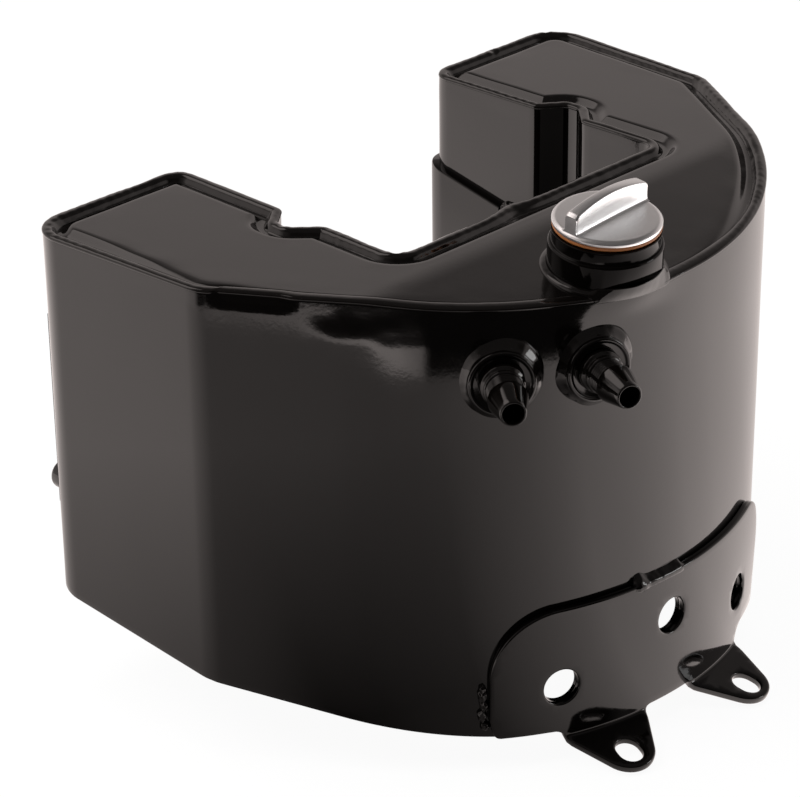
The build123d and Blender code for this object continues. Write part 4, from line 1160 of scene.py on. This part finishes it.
# ------------------------------------------------------------------ stage, light, camera
PHI, ELEV, ROLL, FOC = 45.8649704, 26.4887355, -0.648147218, math.exp(1.13388180) * 1000
TV = np.array((54.7610328, 82.7423552, 1283.58191)) * 0.85
ph, el, ro = radians(PHI), radians(ELEV), radians(ROLL)
right = np.array((cos(ph), -sin(ph), 0.0))
fw = np.array((sin(ph), cos(ph), 0.0))
W = fw * cos(el) - np.array((0, 0, sin(el)))
up = np.cross(right, W)
R = right * cos(ro) + up * sin(ro)
U = -right * sin(ro) + up * cos(ro)
pos = -(R * TV[0] + U * TV[1] + W * TV[2])
cam = bpy.data.cameras.new("cam")
cam.sensor_fit = "HORIZONTAL"
cam.sensor_width = 36.0
cam.lens = 36.0 * FOC / 800.0
cam.clip_start, cam.clip_end = 0.01, 50.0
co = bpy.data.objects.new("cam", cam)
co.matrix_world = Matrix(((R[0], U[0], -W[0], (pos[0] + CX) / 1000), (R[1], U[1], -W[1], (pos[1] + CY) / 1000),
                          (R[2], U[2], -W[2], (pos[2] + CZ) / 1000), (0, 0, 0, 1)))
bpy.context.scene.collection.objects.link(co)
bpy.context.scene.camera = co

FLOOR_Z = -0.0030
bm = bmesh.new()
bmesh.ops.create_grid(bm, x_segments=2, y_segments=2, size=4.0)
for v in bm.verts:
    v.co.z = FLOOR_Z
me = bpy.data.meshes.new("floor")
bm.to_mesh(me)
bm.free()
floor = bpy.data.objects.new("floor", me)
bpy.context.scene.collection.objects.link(floor)
fm, nt, bs = new_mat("pale_floor")
bs.inputs["Base Color"].default_value = (0.86, 0.86, 0.86, 1)
bs.inputs["Roughness"].default_value = 0.9
bs.inputs["Specular IOR Level"].default_value = 0.0
out = nt.nodes["Material Output"]
lp = add(nt, "ShaderNodeLightPath")
white = add(nt, "ShaderNodeEmission")
white.inputs["Color"].default_value = (1, 1, 1, 1)
white.inputs["Strength"].default_value = 1.02
soft = add(nt, "ShaderNodeMixShader")
soft.inputs[0].default_value = 0.93
nt.links.new(bs.outputs[0], soft.inputs[1])
nt.links.new(white.outputs[0], soft.inputs[2])
TINT = (1.0, 0.895, 0.86)


def sky_ramp(nt, fac, stops, top):
    """Grey ramp over azimuth -180..180, warm tint, values up to top."""
    rp = add(nt, "ShaderNodeValToRGB")
    c = rp.color_ramp
    stops = sorted(stops)
    for i, (az, v) in enumerate(stops):
        e = c.elements[i] if i < 2 else c.elements.new((az + 180) / 360)
        e.position = (az + 180) / 360
        e.color = (v / top * TINT[0], v / top * TINT[1], v / top * TINT[2], 1)
    nt.links.new(fac, rp.inputs["Fac"])
    return rp


def azimuth(nt, vec, origin):
    sub = add(nt, "ShaderNodeVectorMath", operation="SUBTRACT")
    sub.inputs[1].default_value = origin
    nt.links.new(vec, sub.inputs[0])
    sp = add(nt, "ShaderNodeSeparateXYZ")
    nt.links.new(sub.outputs["Vector"], sp.inputs["Vector"])
    at = add(nt, "ShaderNodeMath", operation="ARCTAN2")
    nt.links.new(sp.outputs["X"], at.inputs[0])
    nt.links.new(sp.outputs["Y"], at.inputs[1])
    mr = add(nt, "ShaderNodeMapRange")
    mr.inputs["From Min"].default_value = -pi
    mr.inputs["From Max"].default_value = pi
    nt.links.new(at.outputs["Value"], mr.inputs["Value"])
    ln = add(nt, "ShaderNodeVectorMath", operation="LENGTH")
    nt.links.new(sub.outputs["Vector"], ln.inputs[0])
    return mr.outputs["Result"], ln.outputs["Value"], sp


TOP = 2.4
FAR = [(-180, 1.50), (-171, 1.19), (-161, 0.93), (-151, 0.80), (-143, 0.68), (-135, 0.57), (-127, 0.52), (-118, 0.50), (-109, 0.52), (-98, 0.60), (-80, 0.95), (-60, 1.25),
       (-48, 1.33), (-26, 1.65), (0, 1.4), (30, 1.0), (60, 0.8), (80, 1.0), (102, 1.42), (124, 1.92), (140, 2.05), (153, 1.88), (167, 1.74), (180, 1.50)]
# floor as seen in reflections close to the tank, darker than FAR: a painted contact shadow of the tank
NEAR_PAINTED_SHADOW = [(-180, 1.45), (-171, 1.12), (-161, 0.85), (-151, 0.60), (-143, 0.42), (-135, 0.22), (-127, 0.17), (-118, 0.13), (-109, 0.08), (-98, 0.05), (-80, 0.35), (-60, 0.52),
        (-48, 0.66), (-26, 0.45), (0, 0.5), (30, 0.6), (60, 0.6), (80, 0.7), (102, 1.0), (124, 1.6), (140, 1.85), (153, 1.7), (167, 1.5), (180, 1.45)]
BEYOND = [(-180, 0.02), (-132.5, 0.02), (-130.5, 1.3), (-124, 2.2), (-117, 2.3), (-108, 1.8), (-100, 1.1), (-92, 0.9), (-80, 1.1), (-60, 1.35), (-48, 1.33), (-26, 1.65), (0, 1.4),
          (30, 1.0), (60, 0.8), (80, 1.0), (102, 1.42), (124, 1.92), (140, 2.0), (153, 1.85), (160, 1.6), (164, 0.02)]
ge = add(nt, "ShaderNodeNewGeometry")
fac, dist, _s = azimuth(nt, ge.outputs["Position"], (0.005, 0.085, FLOOR_Z))
rf, rn_painted_shadow, rb = sky_ramp(nt, fac, FAR, TOP), sky_ramp(nt, fac, NEAR_PAINTED_SHADOW, TOP), sky_ramp(nt, fac, BEYOND, TOP)
_f2, dist2, _s2 = azimuth(nt, ge.outputs["Position"], (0.005, 0.14, FLOOR_Z))
# blends from the painted shadow near the tank to the open floor between 0.14 and 0.36 m
m1 = add(nt, "ShaderNodeMapRange")
m1.inputs["From Min"].default_value, m1.inputs["From Max"].default_value = 0.14, 0.36
nt.links.new(dist, m1.inputs["Value"])
m2 = add(nt, "ShaderNodeMapRange", interpolation_type="SMOOTHSTEP")
m2.inputs["From Min"].default_value, m2.inputs["From Max"].default_value = -0.003, 0.003
edge_r = add(nt, "ShaderNodeValToRGB")
ec = edge_r.color_ramp
for i, (az, v) in enumerate(((-180, 0.447), (-136, 0.448), (-127.5, 0.453), (-120.5, 0.478), (-108, 0.500), (-92, 0.507), (180, 0.507))):
    e = ec.elements[i] if i < 2 else ec.elements.new((az + 180) / 360)
    e.position = (az + 180) / 360
    e.color = (v, v, v, 1)
nt.links.new(_f2, edge_r.inputs["Fac"])
gap_d = add(nt, "ShaderNodeMath", operation="SUBTRACT")
nt.links.new(dist2, gap_d.inputs[0])
nt.links.new(edge_r.outputs["Color"], gap_d.inputs[1])
nt.links.new(gap_d.outputs["Value"], m2.inputs["Value"])
x1 = add(nt, "ShaderNodeMix", data_type="RGBA")
nt.links.new(m1.outputs["Result"], x1.inputs[0])
nt.links.new(rn_painted_shadow.outputs["Color"], x1.inputs[6])
nt.links.new(rf.outputs["Color"], x1.inputs[7])
x2 = add(nt, "ShaderNodeMix", data_type="RGBA")
nt.links.new(m2.outputs["Result"], x2.inputs[0])
nt.links.new(x1.outputs[2], x2.inputs[6])
nt.links.new(rb.outputs["Color"], x2.inputs[7])
card = add(nt, "ShaderNodeEmission")
card.inputs["Strength"].default_value = TOP
VOID = [(-180, 0.02), (-86, 0.02), (-78, 1.1)] + [q for q in BEYOND if q[0] >= -60]
rv = sky_ramp(nt, fac, VOID, TOP)
m3 = add(nt, "ShaderNodeMapRange", interpolation_type="SMOOTHSTEP")
m3.inputs["From Min"].default_value, m3.inputs["From Max"].default_value = 0.512, 0.525
nt.links.new(dist2, m3.inputs["Value"])
x3 = add(nt, "ShaderNodeMix", data_type="RGBA")
nt.links.new(m3.outputs["Result"], x3.inputs[0])
nt.links.new(x2.outputs[2], x3.inputs[6])
nt.links.new(rv.outputs["Color"], x3.inputs[7])
nt.links.new(x3.outputs[2], card.inputs["Color"])
pick = add(nt, "ShaderNodeMixShader")
nt.links.new(lp.outputs["Is Glossy Ray"], pick.inputs[0])
nt.links.new(soft.outputs[0], pick.inputs[1])
nt.links.new(card.outputs[0], pick.inputs[2])
nt.links.new(pick.outputs[0], out.inputs["Surface"])
floor.data.materials.append(fm)

scene = bpy.context.scene
wd = bpy.data.worlds.new("studio")
scene.world = wd
wd.use_nodes = True
nt = wd.node_tree
bg = nt.nodes["Background"]
tc = add(nt, "ShaderNodeTexCoord")
fac, _l, sp = azimuth(nt, tc.outputs["Generated"], (0.0, 0.0, 0.0))
low_r = sky_ramp(nt, fac, [(-180, 0.02), (-82, 0.03), (-70, 0.5), (-50, 0.8), (-10, 0.72), (30, 0.60), (60, 0.56), (90, 0.65), (120, 0.6), (150, 0.5), (160, 0.45), (166, 0.02)], TOP)
hi_r = sky_ramp(nt, fac, [(-180, 0.05), (-120, 0.05), (-60, 0.30), (0, 0.30), (30, 0.29), (56, 0.23), (80, 0.20), (110, 0.16), (150, 0.05)], TOP)
e1 = add(nt, "ShaderNodeMapRange", interpolation_type="SMOOTHSTEP")
e1.inputs["From Min"].default_value, e1.inputs["From Max"].default_value = 0.40, 0.60
nt.links.new(sp.outputs["Z"], e1.inputs["Value"])
e2 = add(nt, "ShaderNodeMapRange", interpolation_type="SMOOTHSTEP")
e2.inputs["From Min"].default_value, e2.inputs["From Max"].default_value = 0.62, 0.78
nt.links.new(sp.outputs["Z"], e2.inputs["Value"])
y1 = add(nt, "ShaderNodeMix", data_type="RGBA")
nt.links.new(e1.outputs["Result"], y1.inputs[0])
nt.links.new(low_r.outputs["Color"], y1.inputs[6])
nt.links.new(hi_r.outputs["Color"], y1.inputs[7])
y2 = add(nt, "ShaderNodeMix", data_type="RGBA")
nt.links.new(e2.outputs["Result"], y2.inputs[0])
nt.links.new(y1.outputs[2], y2.inputs[6])
y2.inputs[7].default_value = (0.036, 0.033, 0.032, 1)
# one large soft light behind on the left
box = add(nt, "ShaderNodeVectorMath", operation="DOT_PRODUCT")
b_el, b_az = radians(50), radians(-20)
box.inputs[1].default_value = (sin(b_az) * cos(b_el), cos(b_az) * cos(b_el), sin(b_el))
nt.links.new(tc.outputs["Generated"], box.inputs[0])
b_r = add(nt, "ShaderNodeMapRange", interpolation_type="SMOOTHSTEP")
b_r.inputs["From Min"].default_value, b_r.inputs["From Max"].default_value = cos(radians(22)), cos(radians(13))
nt.links.new(box.outputs["Value"], b_r.inputs["Value"])
y3 = add(nt, "ShaderNodeMix", data_type="RGBA")
nt.links.new(b_r.outputs["Result"], y3.inputs[0])
nt.links.new(y2.outputs[2], y3.inputs[6])
y3.inputs[7].default_value = (1.55 / TOP * TINT[0], 1.55 / TOP * TINT[1], 1.55 / TOP * TINT[2], 1)
nt.links.new(y3.outputs[2], bg.inputs["Color"])
bg.inputs["Strength"].default_value = TOP

centre = Vector((0.005, 0.085, 0.10))


def area(name, az, el_, dist, size, power, size_y=None):
    """Area light at azimuth az (0 = +Y behind, 90 = +X) and elevation el_."""
    li = bpy.data.lights.new(name, "AREA")
    li.shape = "RECTANGLE"
    li.size, li.size_y = size, size_y or size
    li.energy = power
    ob = bpy.data.objects.new(name, li)
    d = Vector((sin(radians(az)) * cos(radians(el_)), cos(radians(az)) * cos(radians(el_)), sin(radians(el_))))
    ob.location = centre + d * dist
    ob.rotation_mode = "QUATERNION"
    ob.rotation_quaternion = d.to_track_quat("Z", "Y")
    bpy.context.scene.collection.objects.link(ob)
    return ob


over = area("overhead", 20, 82, 1.9, 1.5, 30.0)
over.visible_glossy = False
lb = area("left_back", -62, 48, 1.5, 0.7, 12.0)
lb.visible_glossy = False
area("right_front", 140, 12, 1.6, 0.42, 2.4)

scene.view_settings.view_transform = "Standard"
scene.view_settings.look = "None"
scene.view_settings.exposure = 0.0
scene.view_settings.gamma = 1.0

bpy.context.view_layer.update()
